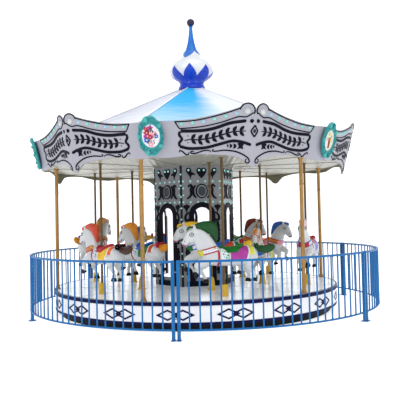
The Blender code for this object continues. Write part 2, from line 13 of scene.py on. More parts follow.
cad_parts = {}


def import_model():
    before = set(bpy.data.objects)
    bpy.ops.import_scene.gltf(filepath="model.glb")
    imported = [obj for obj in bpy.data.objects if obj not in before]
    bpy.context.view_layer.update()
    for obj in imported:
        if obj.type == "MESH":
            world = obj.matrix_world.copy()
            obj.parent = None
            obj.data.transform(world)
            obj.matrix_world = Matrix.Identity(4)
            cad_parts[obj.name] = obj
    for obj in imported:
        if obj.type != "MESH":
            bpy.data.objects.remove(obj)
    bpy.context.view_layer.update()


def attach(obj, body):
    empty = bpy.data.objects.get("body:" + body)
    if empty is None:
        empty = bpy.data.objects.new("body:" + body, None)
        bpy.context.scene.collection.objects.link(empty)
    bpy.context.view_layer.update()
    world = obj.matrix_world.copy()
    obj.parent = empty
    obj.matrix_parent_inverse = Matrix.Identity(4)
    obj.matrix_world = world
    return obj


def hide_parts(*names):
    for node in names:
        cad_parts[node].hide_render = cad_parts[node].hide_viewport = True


SECTORS = 6
SECTOR = 60.0
POST_AZ = -18.0
POLE_AZ = 12.0
BOARD_AZ = -12.0
DECK_R = 2.65
DECK_TOP = 0.46
SKIRT_R = 2.635
POST_R = 2.59
POLE_RING_R = {"outer": 2.13, "inner": 1.30}
REST_LIFT = {
    "outer": (-0.04, 0.00, -0.04, 0.06, 0.09, -0.02),
    "inner": (0.00, -0.14, 0.03, -0.10, -0.08, -0.02),
}
COLUMN_R = 0.77
COLUMN_FOOT = 0.463
CEILING_Z = 2.66
ROOF_SLOPE = 0.426
CROWN_R = 0.27
CROWN_Z = 4.19
BOARD_LOW_Z = 2.44
BOARD_LOW_R = 2.81
BOARD_LEAN = 0.26
BOARD_HALF = 1.516
FENCE_CENTRE = Vector((0.16, 0.0, 0.0))
FENCE_R = 3.22
FENCE_AZ = -8.0
FENCE_GAP = 0.70
FENCE_H = 1.115
FENCE_RODS = 21
UP = Vector((0, 0, 1))
M = {}  # finishes by key, filled by make_materials


# Small geometry helpers


def mm(text):
    """Tuples in metres from a list in millimetres; commas part the tuples."""
    return [tuple(float(v) / 1000 for v in part.split()) for part in text.split(",")]


def spread(start, end, count):
    """Even steps between two numbers."""
    return [start + (end - start) * i / (count - 1) for i in range(count)]


def sweep(start, end, count):
    """Angles in radians, evenly spaced between two bearings in degrees."""
    return [radians(a) for a in spread(start, end, count)]


def circle(count, start=0.0):
    """Angles of one full turn in radians; start is the first one in steps."""
    return [2 * pi * (i + start) / count for i in range(count)]


def polar(radius, azimuth, z):
    """Point at a radius and an azimuth in degrees."""
    a = radians(azimuth)
    return Vector((radius * sin(a), -radius * cos(a), z))


def outward(azimuth):
    """Unit vector away from the axis."""
    return polar(1.0, azimuth, 0.0)


def along(azimuth):
    """Unit vector towards larger azimuths."""
    return polar(1.0, azimuth + 90.0, 0.0)


def mirror(points, s):
    """Flat points with the sign of x given by s."""
    return [(s * x, z) for x, z in points]


def turned(points, x, z, turn):
    """Flat points turned by an angle in radians and moved to a place."""
    return [(x + u * cos(turn) - v * sin(turn), z + u * sin(turn) + v * cos(turn)) for u, v in points]


def smooth_path(points, steps=6):
    """Points of a Catmull-Rom curve through the given points."""
    pts = [Vector(p) for p in points]
    pts = [pts[0] * 2 - pts[1]] + pts + [pts[-1] * 2 - pts[-2]]
    out = []
    for p0, p1, p2, p3 in zip(pts, pts[1:], pts[2:], pts[3:]):
        for s in range(steps):
            t = s / steps
            q = p1 * 2 + (p2 - p0) * t + (p0 * 2 - p1 * 5 + p2 * 4 - p3) * t ** 2
            out.append((q + (p1 * 3 - p0 - p2 * 3 + p3) * t ** 3) * 0.5)
    return out + [pts[-2]]


def smooth_numbers(values, steps):
    """The same curve through plain numbers."""
    return [p.x for p in smooth_path([(v, 0, 0) for v in values], steps)]


def smooth_profile(points, steps=3):
    """The same curve through flat points."""
    return [(p.x, p.y) for p in smooth_path([(*p, 0) for p in points], steps)]


def skin_rings(rings, closed=False, caps=True):
    """Mesh through rings of points; closed joins the last ring to the first, or else caps close the ends."""
    n = len(rings[0])
    faces = []
    for i in range(len(rings) if closed else len(rings) - 1):
        j = (i + 1) % len(rings)
        faces += [(i * n + k, i * n + (k + 1) % n, j * n + (k + 1) % n, j * n + k) for k in range(n)]
    if caps and not closed:
        faces += [tuple(reversed(range(n))), tuple((len(rings) - 1) * n + k for k in range(n))]
    return [Vector(p) for ring in rings for p in ring], faces


def tube(path, radii, sides=8, flat=1.0, up=UP, closed=False):
    """Round or flattened tube along a path; flat scales the section across the up direction."""
    pts = [Vector(p) for p in path]
    n = len(pts)
    radii = radii if hasattr(radii, "__len__") else [radii] * n
    up = Vector(up)
    rings = []
    for i, p in enumerate(pts):
        before = pts[i - 1] if closed or i > 0 else p
        after = pts[(i + 1) % n] if closed or i + 1 < n else p
        axis = (after - before).normalized()
        side = up.cross(axis)
        if side.length < 1e-5:
            side = Vector((1, 0, 0)).cross(axis)
        side.normalize()
        up = axis.cross(side)
        rings.append([p + (side * cos(a) * flat + up * sin(a)) * radii[i] for a in circle(sides, 0.5)])
    return skin_rings(rings, closed)


def lathe(profile, sides=24, place=None):
    """Closed turned shape; the profile is (radius, height) from the bottom up."""
    verts, faces = skin_rings([[(r * cos(a), r * sin(a), z) for a in circle(sides)] for r, z in profile])
    return [place @ v for v in verts] if place else verts, faces


def dome(point, normal, radius, height, sides=10, rows=3):
    """Low dome that stands on a surface."""
    z = Vector(normal).normalized()
    x = UP.cross(z)
    x = x.normalized() if x.length > 1e-5 else Vector((1, 0, 0))
    profile = [(radius, -0.002)]
    profile += [(radius * cos(a), height * sin(a)) for a in circle(4 * rows)[:rows]]
    profile.append((radius * 0.12, height * 0.995))
    return lathe(profile, sides, Matrix.Translation(point) @ Matrix((x, z.cross(x), z)).transposed().to_4x4())


def slab(outlines, lift, high, low=-0.002):
    """Flat shape with holes, given in surface coordinates; lift(point, offset) puts a point in place."""
    flat = [p for outline in outlines for p in outline]
    n = len(flat)
    faces = []
    for a, b, c in tessellate_polygon([[Vector((*p, 0.0)) for p in outline] for outline in outlines]):
        (xa, ya), (xb, yb), (xc, yc) = flat[a], flat[b], flat[c]
        if (xb - xa) * (yc - ya) - (xc - xa) * (yb - ya) < 0:
            b, c = c, b
        faces += [(a + n, b + n, c + n), (a, c, b)]
    start = 0
    for outline in outlines:
        for i in range(len(outline)):
            p, q = start + i, start + (i + 1) % len(outline)
            faces.append((p, q, q + n, p + n))
        start += len(outline)
    return [lift(p, low) for p in flat] + [lift(p, high) for p in flat], faces


def stroke(points, width, lift, high, steps=5, taper=False, low=-0.002):
    """Raised brush line through flat points; taper thins it towards its ends."""
    path = smooth_path([(*p, 0) for p in points], steps)
    last = len(path) - 1
    left = []
    right = []
    for i, p in enumerate(path):
        d = (path[min(i + 1, last)] - path[max(i - 1, 0)]).normalized()
        w = width / 2 * (0.45 + 0.55 * sin(pi * (0.06 + 0.88 * i / last)) if taper else 1.0)
        left.append((p.x - d.y * w, p.y + d.x * w))
        right.append((p.x + d.y * w, p.y - d.x * w))
    outline = left + right[::-1]
    n = len(outline)
    faces = [(i, (i + 1) % n, (i + 1) % n + n, i + n) for i in range(n)]
    for i in range(last):
        a, b, c, d = i, i + 1, n - 2 - i, n - 1 - i
        faces += [(a + n, b + n, c + n, d + n), (a, d, c, b)]
    return [lift(p, low) for p in outline] + [lift(p, high) for p in outline], faces


def disc(centre, radius, sides=12, stretch=1.0):
    """Flat round or oval outline."""
    return [(centre[0] + radius * cos(a), centre[1] + radius * stretch * sin(a)) for a in circle(sides)]


def put(name, data):
    """New object in the scene."""
    obj = bpy.data.objects.new(name, data)
    bpy.context.scene.collection.objects.link(obj)
    return obj


def mend(mesh, merge=0.0):
    """Turn the faces of a mesh outwards, and join doubled points first if merge gives a distance."""
    work = bmesh.new()
    work.from_mesh(mesh)
    if merge:
        bmesh.ops.remove_doubles(work, verts=work.verts, dist=merge)
    bmesh.ops.recalc_face_normals(work, faces=work.faces)
    work.to_mesh(mesh)
    work.free()


class Shapes(list):
    """Shapes of one piece, each as (points, faces, material)."""

    def add(self, key, shape):
        self.append((*shape, M[key]))

    def mesh(self, name):
        """One mesh of all the shapes."""
        verts = []
        faces = []
        mats = []
        index = []
        for points, polys, mat in self:
            base = len(verts)
            verts += [tuple(p) for p in points]
            faces += [tuple(base + i for i in poly) for poly in polys]
            if mat not in mats:
                mats.append(mat)
            index += [mats.index(mat)] * len(polys)
        mesh = bpy.data.meshes.new(name)
        mesh.from_pydata(verts, [], faces)
        for mat in mats:
            mesh.materials.append(mat)
        mesh.polygons.foreach_set("material_index", index)
        mesh.validate()
        mend(mesh)
        return mesh

    def piece(self, name, slot, body="turntable", replaces=(), angle=38, place=None):
        """One object of all the shapes, riding on a body; edges past the angle stay sharp."""
        if place:
            self[:] = [([place @ Vector(p) for p in points], faces, mat) for points, faces, mat in self]
        mesh = self.mesh(name)
        if angle:
            mesh.shade_smooth()
            mesh.set_sharp_from_angle(angle=radians(angle))
        obj = put(name, mesh)
        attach(obj, body)
        if replaces:
            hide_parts(*replaces)
        return obj


# Materials


def rgb(text):
    """Linear colour from a hex code."""
    out = []
    for i in (0, 2, 4):
        v = int(text[i:i + 2], 16) / 255
        out.append(v / 12.92 if v <= 0.04045 else ((v + 0.055) / 1.055) ** 2.4)
    return (*out, 1)


def feed(node, sockets):
    """Fill sockets by name or number, each with a value or with the output that feeds it."""
    for key, value in sockets.items():
        if isinstance(value, bpy.types.NodeSocket):
            node.id_data.links.new(value, node.inputs[key])
        else:
            node.inputs[key].default_value = value


def add_node(mat, kind, sockets, out=0, **settings):
    """New node of a kind; gives back one of its outputs."""
    node = mat.node_tree.nodes.new("ShaderNode" + kind)
    for key, value in settings.items():
        setattr(node, key, value)
    feed(node, sockets)
    return node.outputs[out]


def calculate(mat, operation, *values):
    """Output of a maths node."""
    return add_node(mat, "Math", dict(enumerate(values)), operation=operation)


def mix(mat, share, first, second):
    """Output of a colour mix."""
    return add_node(mat, "Mix", {0: share, 6: first, 7: second}, 2, data_type="RGBA")


def part_of(mat, kind):
    """First node of a kind in a material."""
    return next(n for n in mat.node_tree.nodes if n.bl_idname == "ShaderNode" + kind)


def tint(ramp, low, dark, high, light):
    """Set both stops of a colour ramp."""
    for stop, position, colour in zip(ramp.color_ramp.elements, (low, high), (dark, light)):
        stop.position = position
        stop.color = colour


def finish(name, colour, rough, metallic=0.0, vary=0.10, scale=6.0, bump=0.1, bump_scale=80.0, coat=0.0,
           glow=0.0, spec=0.5):
    """Painted or metal surface with slight changes of tone, wear and a fine bump."""
    mat = bpy.data.materials.new(name)
    mat.use_nodes = True
    base = rgb(colour)
    place = add_node(mat, "TexCoord", {}, "Object")
    tone = add_node(mat, "TexNoise", {"Scale": scale, "Detail": 5.0, "Vector": place})
    paint = add_node(mat, "ValToRGB", {"Fac": tone})
    tint(paint.node, 0.3, [v * (1 - vary) for v in base[:3]] + [1],
         0.7, [min(1.0, v * (1 + vary * 0.6)) for v in base[:3]] + [1])
    wear = {"To Min": max(0.03, rough - 0.07), "To Max": min(1.0, rough + 0.07), "Value": tone}
    grain = add_node(mat, "TexNoise", {"Scale": bump_scale, "Detail": 3.0, "Vector": place})
    shader = part_of(mat, "BsdfPrincipled")
    feed(shader, {
        "Base Color": paint, "Roughness": add_node(mat, "MapRange", wear), "Metallic": metallic,
        "Normal": add_node(mat, "Bump", {"Strength": bump, "Distance": 0.002, "Height": grain}),
        "Coat Weight": coat, "Coat Roughness": 0.08, "Specular IOR Level": spec,
    })
    if glow:
        feed(shader, {"Emission Color": base, "Emission Strength": glow})
    return mat


def roof_cloth(name, top, foot, painted_glare=None):
    """Taut coated cloth whose tone fades from crown to eave and, when a glare colour is given, pales across
    each facet with painted glare.
    """
    mat = finish(name, top, 0.55, vary=0.05, bump=0.25, bump_scale=160.0)
    place = part_of(mat, "TexCoord").outputs["Object"]
    split = add_node(mat, "SeparateXYZ", {"Vector": place}).node
    rise = add_node(mat, "MapRange", {"From Min": 2.95, "From Max": 4.1, "Value": split.outputs["Z"]})
    stretch = add_node(mat, "Mapping", {"Scale": (1.0, 1.0, 14.0), "Vector": place})
    creases = add_node(mat, "TexNoise", {"Scale": 2.2, "Detail": 6.0, "Vector": stretch})
    paint = part_of(mat, "ValToRGB")
    # The crease noise also streaks the tone: painted shade and sheen along the creases, on top of the bump
    # they get.
    feed(paint, {"Fac": calculate(mat, "MULTIPLY_ADD", creases, 0.55, rise)})
    tint(paint, 0.30, rgb(foot), 0.95, rgb(top))
    feed(part_of(mat, "Bump"), {"Distance": 0.006, "Height": creases})
    # Painted glare: each facet pales from one side towards the glare colour, ragged along the creases, where
    # glare would wash the blue out.
    if painted_glare:
        back = calculate(mat, "MULTIPLY", split.outputs["Y"], -1.0)
        angle = calculate(mat, "ARCTAN2", split.outputs["X"], back)
        ragged = calculate(mat, "MULTIPLY_ADD", creases, 0.35, angle)
        middle = 0.17
        local = calculate(mat, "WRAP", ragged, radians(72.0) + middle, radians(-48.0) + middle)
        edges = {"From Min": radians(3.0) + middle, "From Max": radians(21.0) + middle, "Value": local}
        colour = mix(mat, add_node(mat, "MapRange", edges), paint.outputs["Color"], rgb(painted_glare))
        feed(part_of(mat, "BsdfPrincipled"), {"Base Color": colour})
    return mat


def two_faced(name, front, back, rough, limit, glow=0.0):
    """One paint on the faces that look away from the axis, another on those that look towards it; with glow,
    those inward faces also glow as painted light.
    """
    mat = finish(name, front, rough, vary=0.05, scale=2.5, bump=0.05, bump_scale=40.0)
    place = part_of(mat, "TexCoord").outputs
    dot = {0: place["Object"], 1: place["Normal"]}
    facing = add_node(mat, "VectorMath", dot, "Value", operation="DOT_PRODUCT")
    inner = calculate(mat, "LESS_THAN", facing, limit)
    shader = part_of(mat, "BsdfPrincipled")
    feed(shader, {"Base Color": mix(mat, inner, part_of(mat, "ValToRGB").outputs["Color"], rgb(back))})
    # Painted light: the inward faces glow in their own colour though they are no lamp.
    if glow:
        feed(shader, {"Emission Color": mix(mat, inner, (0, 0, 0, 1), rgb(back)), "Emission Strength": glow})
    return mat


def ribbed(name, colour, rough, pitch):
    """Sheet with shallow ribs along Y."""
    mat = finish(name, colour, rough, vary=0.07, scale=1.5)
    wave = {"Scale": 0.314 / pitch, "Distortion": 0.15, "Vector": part_of(mat, "TexCoord").outputs["Object"]}
    ribs = add_node(mat, "TexWave", wave, "Fac", bands_direction="X")
    feed(part_of(mat, "Bump"), {"Strength": 0.5, "Distance": 0.01, "Height": ribs})
    return mat


# The deck paint glows (glow=0.12) though the deck is no lamp: painted light that lifts the shade the roof
# casts on it.
FINISHES = """
black black_steel 0C0C10 0.6 bump=0.2 spec=0.15
deck deck_paint F1F7FC 0.16 glow=0.12 vary=0.04 scale=3 bump=0.12 bump_scale=30
navy navy_paint 0C0840 0.5 vary=0.15 bump=0.05 spec=0.12
ink navy_ornament 08071A 0.55 bump=0.05 spec=0.12
skirt skirt_paint FAFAFD 0.35 vary=0.05 scale=2 bump=0.08 bump_scale=20
mint mint_lamp 74C9BA 0.18 bump=0 coat=0.8 glow=0.22
cyan cyan_lamp 9FDAD8 0.18 bump=0 coat=0.8 glow=0.45
azure azure_lamp 8DBBD6 0.18 bump=0 coat=0.8 glow=0.22
pearl pearl_lamp C4C8C6 0.15 bump=0 coat=0.9
teal teal_paint 17898C 0.45 vary=0.14 scale=9 bump=0.12
teal_light teal_highlight 3FA8A6 0.45 vary=0.12 scale=12
cream cream_panel D8DAD0 0.4 vary=0.08 scale=10
white white_gloss ECEEF2 0.22 vary=0.04 bump=0.04 coat=0.5
royal royal_blue 083FC8 0.3 vary=0.12 bump=0.04 coat=0.15
sky spire_blue 1470CC 0.34 vary=0.12 bump=0.04 coat=0.1
ball navy_ball 06093A 0.3 bump=0.02 coat=0.15
seam ceiling_rib 8F8C80 0.5
mirror oval_mirror 2C3A44 0.12 metallic=0.3 vary=0.15 bump=0 coat=0.6
strip corner_strip 1E1F2A 0.45 vary=0.2 spec=0.2
gilt gilt_post AB7F3E 0.36 metallic=0.15 vary=0.2 scale=14 bump=0.15
gold gold_paint E2B21A 0.3 metallic=0.1 vary=0.16 scale=10 bump=0.15 coat=0.3
brass dull_brass 6B5430 0.38 metallic=0.35 vary=0.25 scale=20 bump=0.2
fence fence_blue 0769AB 0.42 vary=0.14 scale=5 bump=0.12 coat=0.05 spec=0.3
steel bolt_steel 8C9096 0.35 metallic=0.9
hide horse_white D3D6D8 0.25 vary=0.05 scale=5 bump=0.05 bump_scale=30 coat=0.35
hoof hoof_black 0C0C0E 0.4 spec=0.25
lip lip_magenta 8A4560 0.35
eye_white eye_white F5F5F2 0.15 vary=0.02 coat=0.8
iris eye_iris 1E2630 0.15 vary=0.2 coat=0.8
"""
PAINTS = """
green 0E7026, pine 064A1B, magenta B13C9C, crimson B31F3A, lemon D8D44C, pink F0A0B4, blue 2B63C4,
orange EE6A2C, coral CB4A2F, amber DB8A16, rust 8A2E16, chestnut 43291A, yellow F2C230, violet 6A4AB0,
tangerine E58E12
"""


def make_materials():
    """All finishes by key."""
    for row in FINISHES.strip().splitlines():
        key, name, code, rough, *options = row.split()
        settings = [option.split("=") for option in options]
        M[key] = finish(name, code, float(rough), **{word: float(value) for word, value in settings})
    for key, code in (paint.split() for paint in PAINTS.split(",")):
        M[key] = finish("paint_" + key, code, 0.42, 0.0, 0.16, 12.0, 0.12, 50.0, 0.05, spec=0.3)
    M["board"] = two_faced("board_paint", "A2A2AD", "84826C", 0.42, -1.2)
    # The column's inward faces are near-white and glow: painted light for the brightness seen through the
    # arches.
    M["panel"] = two_faced("column_panel", "8B8E92", "F6F6FA", 0.3, -0.3, 0.5)
    M["ceiling"] = ribbed("ceiling_sheet", "A19F91", 0.35, 0.10)
    # The blue cloth carries painted glare that pales each facet towards F0F5FB.
    M["roof_blue"] = roof_cloth("roof_cloth_blue", "30BEFB", "CFEBF9", "F0F5FB")
    M["roof_white"] = roof_cloth("roof_cloth_white", "C9CDDD", "EEF0F6")


# Deck, skirt and base


def studs(shapes, key, spots, normal, radius, height, sides=6, rows=2):
    """Domes at several spots."""
    for spot in spots:
        shapes.add(key, dome(spot, normal, radius, height, sides, rows))


def spots_round(at, radius, z, count, start=0.0):
    """Points on a circle in a placed frame."""
    return [at @ Vector((radius * cos(a), radius * sin(a), z)) for a in circle(count, start)]


def ring_band(radius, thickness, low, high):
    """Thin closed band around the axis."""
    corners = [(radius, low), (radius + thickness, low), (radius + thickness, high), (radius, high)]
    return skin_rings([[polar(r, degrees(a), z) for r, z in corners] for a in circle(96)], closed=True)


def radial_bars(shapes, key, outer, half_width, low, high):
    """Flat bars that run out from the column, one every 30 degrees."""
    for k in range(12):
        a = POST_AZ + 30.0 * k
        corners = [(0.80, -1), (outer, -1), (outer, 1), (0.80, 1)]
        shapes.add(key, skin_rings([[polar(r, a, z) + along(a) * (half_width * s) for r, s in corners]
                                    for z in (low, high)]))


def pole_places(z):
    """Ring name and place of each horse pole."""
    for ring, radius in POLE_RING_R.items():
        for k in range(SECTORS):
            yield ring, Matrix.Translation(polar(radius, POLE_AZ + SECTOR * k, z))


def make_skirt_ornament():
    """Navy rim and foot bands, and pairs of crossed diamond outlines around the skirt."""
    shapes = Shapes()
    shapes.add("navy", ring_band(SKIRT_R + 0.0006, 0.0030, 0.110, 0.152))
    middle = 0.262
    line = 0.027
    for i in range(18):
        def lift(p, off, azimuth=13.0 + 20.0 * i):
            return polar(SKIRT_R + off, azimuth + degrees(p[0] / SKIRT_R), p[1])

        for s in (-1, 1):
            for shift, wide, tall, high in ((0.116 * s, 0.182, 0.084, 0.0040), (0.0, 0.062, 0.040, 0.0052)):
                corners = ((-wide, 0), (0, -tall), (wide, 0), (0, tall))
                sizes = (1.0, 1.0 - line / tall)
                outline = [[(shift + x * f, middle + z * f) for x, z in corners] for f in sizes]
                shapes.add("navy", slab(outline, lift, high + 0.0004 * s))
    shapes.piece("skirt_ornament", "skirt_paint", angle=None)
    rim = Shapes()
    rim.add("navy", ring_band(DECK_R - 0.0045, 0.006, 0.397, 0.4575))
    rim.add("navy", ring_band(DECK_R - 0.03, 0.026, DECK_TOP + 0.0002, DECK_TOP + 0.003))
    rim.piece("deck_rim_band", "skirt_paint", angle=None)


POLE_FEET = {
    "outer": mm("66 1, 66 12, 62 20, 60 30, 60 160, 63 168, 63 178, 50 186, 26 188, 24.5 180"),
    "inner": mm("72 1, 72 10, 62 24, 56 60, 51 120, 46 176, 40 200, 32 222, 26 228, 24.5 220"),
}


def make_deck_detail():
    """Plate seams on the deck and the gold foot of each horse pole."""
    seams = Shapes()
    low = DECK_TOP + 0.0003
    high = DECK_TOP + 0.0018
    radial_bars(seams, "steel", 2.60, 0.0025, low, high)
    for r in (1.02, 1.72):
        seams.add("steel", ring_band(r, 0.006, low, high))
    for r in (1.62, 2.42):
        studs(seams, "steel", [polar(r, 7.5 * i + 3.75, DECK_TOP) for i in range(48)], UP, 0.007, 0.003)
    seams.piece("deck_seams", "deck_paint", angle=None)
    feet = Shapes()
    for ring, at in pole_places(DECK_TOP):
        feet.add("gold", lathe(POLE_FEET[ring], 20, at))
        studs(feet, "steel", spots_round(at, 0.062, 0.012, 4, 0.5), UP, 0.006, 0.005)
    feet.piece("pole_feet", "gilt")


# Rim posts

POST = mm("52 460.5, 52 472, 46 480, 36 490, 36 505, 40 512, 36 520, 31 530, 31 900, 36 908, 36 925, 31 933,"
          "31 2200, 36 2208, 36 2225, 31 2233, 31 2600, 38 2612, 44 2630, 52 2645, 52 2659.5")


def make_posts():
    """Gilt posts with turned collars."""
    for k in range(SECTORS):
        at = Matrix.Translation(polar(POST_R, POST_AZ + SECTOR * k, 0))
        shapes = Shapes()
        shapes.add("gilt", lathe(POST, 20, at))
        studs(shapes, "steel", spots_round(at, 0.045, 0.478, 4), UP, 0.005, 0.006)
        shapes.piece(f"gilt_post_{k + 1}", "gilt", replaces=[f"rim_post_{k + 1}"])


# Column

COLUMN_SCROLLS = [
    mm("115 2300, 150 2250, 160 2190, 145 2120, 105 2070"),
    mm("185 2290, 205 2220, 195 2150, 225 2090, 275 2055"),
    mm("255 2270, 215 2305, 180 2280, 190 2245"),
    mm("245 1810, 300 1760, 315 1690, 275 1650, 255 1690"),
    mm("265 1630, 310 1560, 265 1480, 310 1400, 265 1320, 305 1240"),
    mm("310 1630, 262 1560, 312 1480, 262 1400, 312 1320, 268 1240"),
    mm("265 1160, 310 1080, 265 1000, 310 920, 265 840, 305 760, 265 680"),
    mm("310 1160, 262 1080, 312 1000, 262 920, 312 840, 268 760, 310 680"),
]
HEART = mm("0 2425, 45 2470, 85 2530, 92 2585, 70 2615, 35 2622, 0 2600")
HEART += mirror(HEART[-2:0:-1], -1)
WING = mm("205 2415, 222 2470, 262 2515, 288 2570, 275 2615, 225 2622, 190 2590, 188 2545, 128 2512,"
          "118 2488, 172 2492, 190 2470")
BUD = mm("290 1795, 315 1865, 352 1905, 340 1945, 312 1935, 290 1962")
BUD += [(0.580 - x, z) for x, z in BUD[-2:0:-1]]
OVAL = (0.0, 2.195)


def face_lift(k):
    """Surface coordinates on a column side: x from its middle towards larger azimuths, then height."""
    mid = POST_AZ + SECTOR * (k + 0.5)
    apothem = COLUMN_R * cos(radians(SECTOR / 2))
    return lambda p, off: outward(mid) * (apothem + off) + along(mid) * p[0] + UP * p[1]


def make_column():
    """Black scrollwork, dark ovals and lamps on the six sides, dark lamp strips at the corners."""
    half = COLUMN_R / 2
    low = -0.003
    arch = [(-0.198, 0.475), (-0.198, 1.755)]
    arch += [(0.198 * cos(a), 1.76 + 0.185 * sin(a)) for a in sweep(180, 0, 13)] + [(0.198, 0.475)]
    for k in range(SECTORS):
        lift = face_lift(k)
        normal = outward(POST_AZ + SECTOR * (k + 0.5))
        shapes = Shapes()
        shapes.add("ink", stroke(arch, 0.096, lift, 0.014, 1, low=low))
        shapes.add("ink", slab([HEART], lift, 0.010, low))
        for s in (-1, 1):
            for outline in (WING, BUD):
                shapes.add("ink", slab([mirror(outline, s)], lift, 0.010, low))
            for path in COLUMN_SCROLLS:
                shapes.add("ink", stroke(mirror(path, s), 0.042, lift, 0.012, 4, True, low))
            lamps = [((0.045, 2.578), (0.242, 2.578))]
            lamps.append([(x, z) for x in (0.07, 0.21, 0.345) for z in (2.375, 1.995)])
            lamps.append([(0.345, 2.245), (0.345, 2.12)])
            sizes = ((0.009, 0.021, 0.024, 10, 3), (0.002, 0.019, 0.018, 8, 2), (0.002, 0.017, 0.016, 8, 2))
            for spots, (off, *size) in zip(lamps, sizes):
                studs(shapes, "cyan", [lift(p, off) for p in mirror(spots, s)], normal, *size)
        ovals = [disc(OVAL, r, 28, f) for r, f in ((0.112, 1.2), (0.088, 1.25), (0.072, 1.25))]
        for i, (key, high) in enumerate((("ink", 0.014), ("steel", 0.018), ("mirror", 0.006))):
            shapes.add(key, slab(ovals[i:i + 2], lift, high, low))
        sill = [(-0.30, COLUMN_FOOT), (0.30, COLUMN_FOOT), (0.30, 0.56), (-0.30, 0.56)]
        shapes.add("ink", slab([sill], lift, 0.008, low))
        shapes.piece(f"column_ornament_{k + 1}", "column_panel", angle=30)
        strip = Shapes()
        for s, side in ((-1, k - 1), (1, k)):
            edge = -s * half
            inner = edge + s * 0.022
            panel = [(inner, COLUMN_FOOT), (edge, COLUMN_FOOT), (edge, 2.655), (inner, 2.655)]
            strip.add("strip", slab([panel], face_lift(side), 0.006))
        corner = POST_AZ + SECTOR * k
        spots = [polar(COLUMN_R + 0.006, corner, 2.50 - 0.205 * i) for i in range(10)]
        studs(strip, "cyan", spots, outward(corner), 0.018, 0.020, 8)
        strip.piece(f"corner_strip_{k + 1}", "column_panel", angle=30)


# Ceiling


def make_ceiling():
    """Pale ribs and small lamps under the ceiling, and a collar round each pole."""
    shapes = Shapes()
    face = CEILING_Z - 0.0003
    radial_bars(shapes, "seam", 2.79, 0.010, CEILING_Z - 0.008, face)
    for r, count in ((1.10, 18), (2.45, 36)):
        spots = [polar(r, degrees(a), face) for a in circle(count, 0.5)]
        studs(shapes, "pearl", spots, -UP, 0.015, 0.014, 8)
    for _, at in pole_places(CEILING_Z - 0.03):
        shapes.add("brass", lathe(mm("24.5 10, 30 9.5, 34 18, 42 24, 42 29.5, 24.5 29.7"), 16, at))
    shapes.piece("ceiling_trim", "ceiling_sheet", angle=30)


# Roof


def roof_surface(azimuth, t):
    """Point on a flat roof facet, from the crown at t = 0 to the eave at t = 1."""
    cos_half = cos(radians(SECTOR / 2))
    cos_off = cos(radians((azimuth - POST_AZ) % SECTOR - SECTOR / 2))
    cos_15 = cos(radians(15.0))
    crown = CROWN_R * cos_half / cos_off
    fall = ROOF_SLOPE * cos_off / cos_half
    apex = CROWN_Z + ROOF_SLOPE * CROWN_R
    wall = (BOARD_LOW_R + (apex - 0.012 - BOARD_LOW_Z) * BOARD_LEAN) * cos_15 - 0.0223
    bend = cos(radians((azimuth - BOARD_AZ) % 30.0 - 15.0))
    eave = (wall - 0.004) / (bend + BOARD_LEAN * cos_15 * fall)
    radius = crown + (eave - crown) * t
    return polar(radius, azimuth, apex - fall * radius)


def make_roof():
    """One taut coated cloth over the six rafters, blue and white by turns, with its seams."""
    rng = random.Random(7)
    cols = 20
    rows = 26
    waves = [(rng.uniform(0.5, 2.0), rng.uniform(9.0, 34.0), rng.uniform(0, 6.3)) for _ in range(10)]
    top = []
    for j in range(rows + 1):
        t = j / rows
        ring = []
        for k in range(SECTORS):
            for i in range(cols):
                s = i / cols
                hold = sin(pi * s) ** 0.7
                sag = -0.030 * hold * sin(pi * min(1.0, t * 1.02)) ** 0.8
                crease = sum(sin(b * t + a * s * 5.0 + c + k) * 0.0016 for a, b, c in waves)
                sag += crease * hold * (0.2 + 0.8 * t) * sin(pi * t) ** 0.3
                ring.append(roof_surface(POST_AZ + SECTOR * (k + s), t) + UP * (sag - 0.0005))
        top.append(ring)
    for upper, lower in zip(top, top[1:]):
        for i, p in enumerate(upper):
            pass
    verts, faces = skin_rings(top + [[p - UP * 0.004 for p in ring] for ring in reversed(top)], closed=True)
    shapes = Shapes()
    for odd, key in enumerate(("roof_blue", "roof_white")):
        shapes.add(key, (verts, [f for i, f in enumerate(faces) if i % len(top[0]) // cols % 2 == odd]))
    cloth = shapes.piece("roof_cloth", "roof_cloth", replaces=["roof_sheet"], angle=60)
    mend(cloth.data, 0.00005)
    seams = Shapes()
    for k in range(SECTORS):
        path = [roof_surface(POST_AZ + SECTOR * k, 0.005 + 0.985 * i / 12) + UP * 0.003 for i in range(13)]
        seams.add("white", tube(path, 0.010, 8, 1.6))
    rim = [roof_surface(5.0 * i, 0.985) + UP * 0.006 for i in range(72)]
    seams.add("white", tube(rim, 0.008, 6, closed=True))
    trim = seams.piece("roof_seams", "roof_cloth")


# Rounding boards; flat coordinates are shares of a board's half width, then metres of height

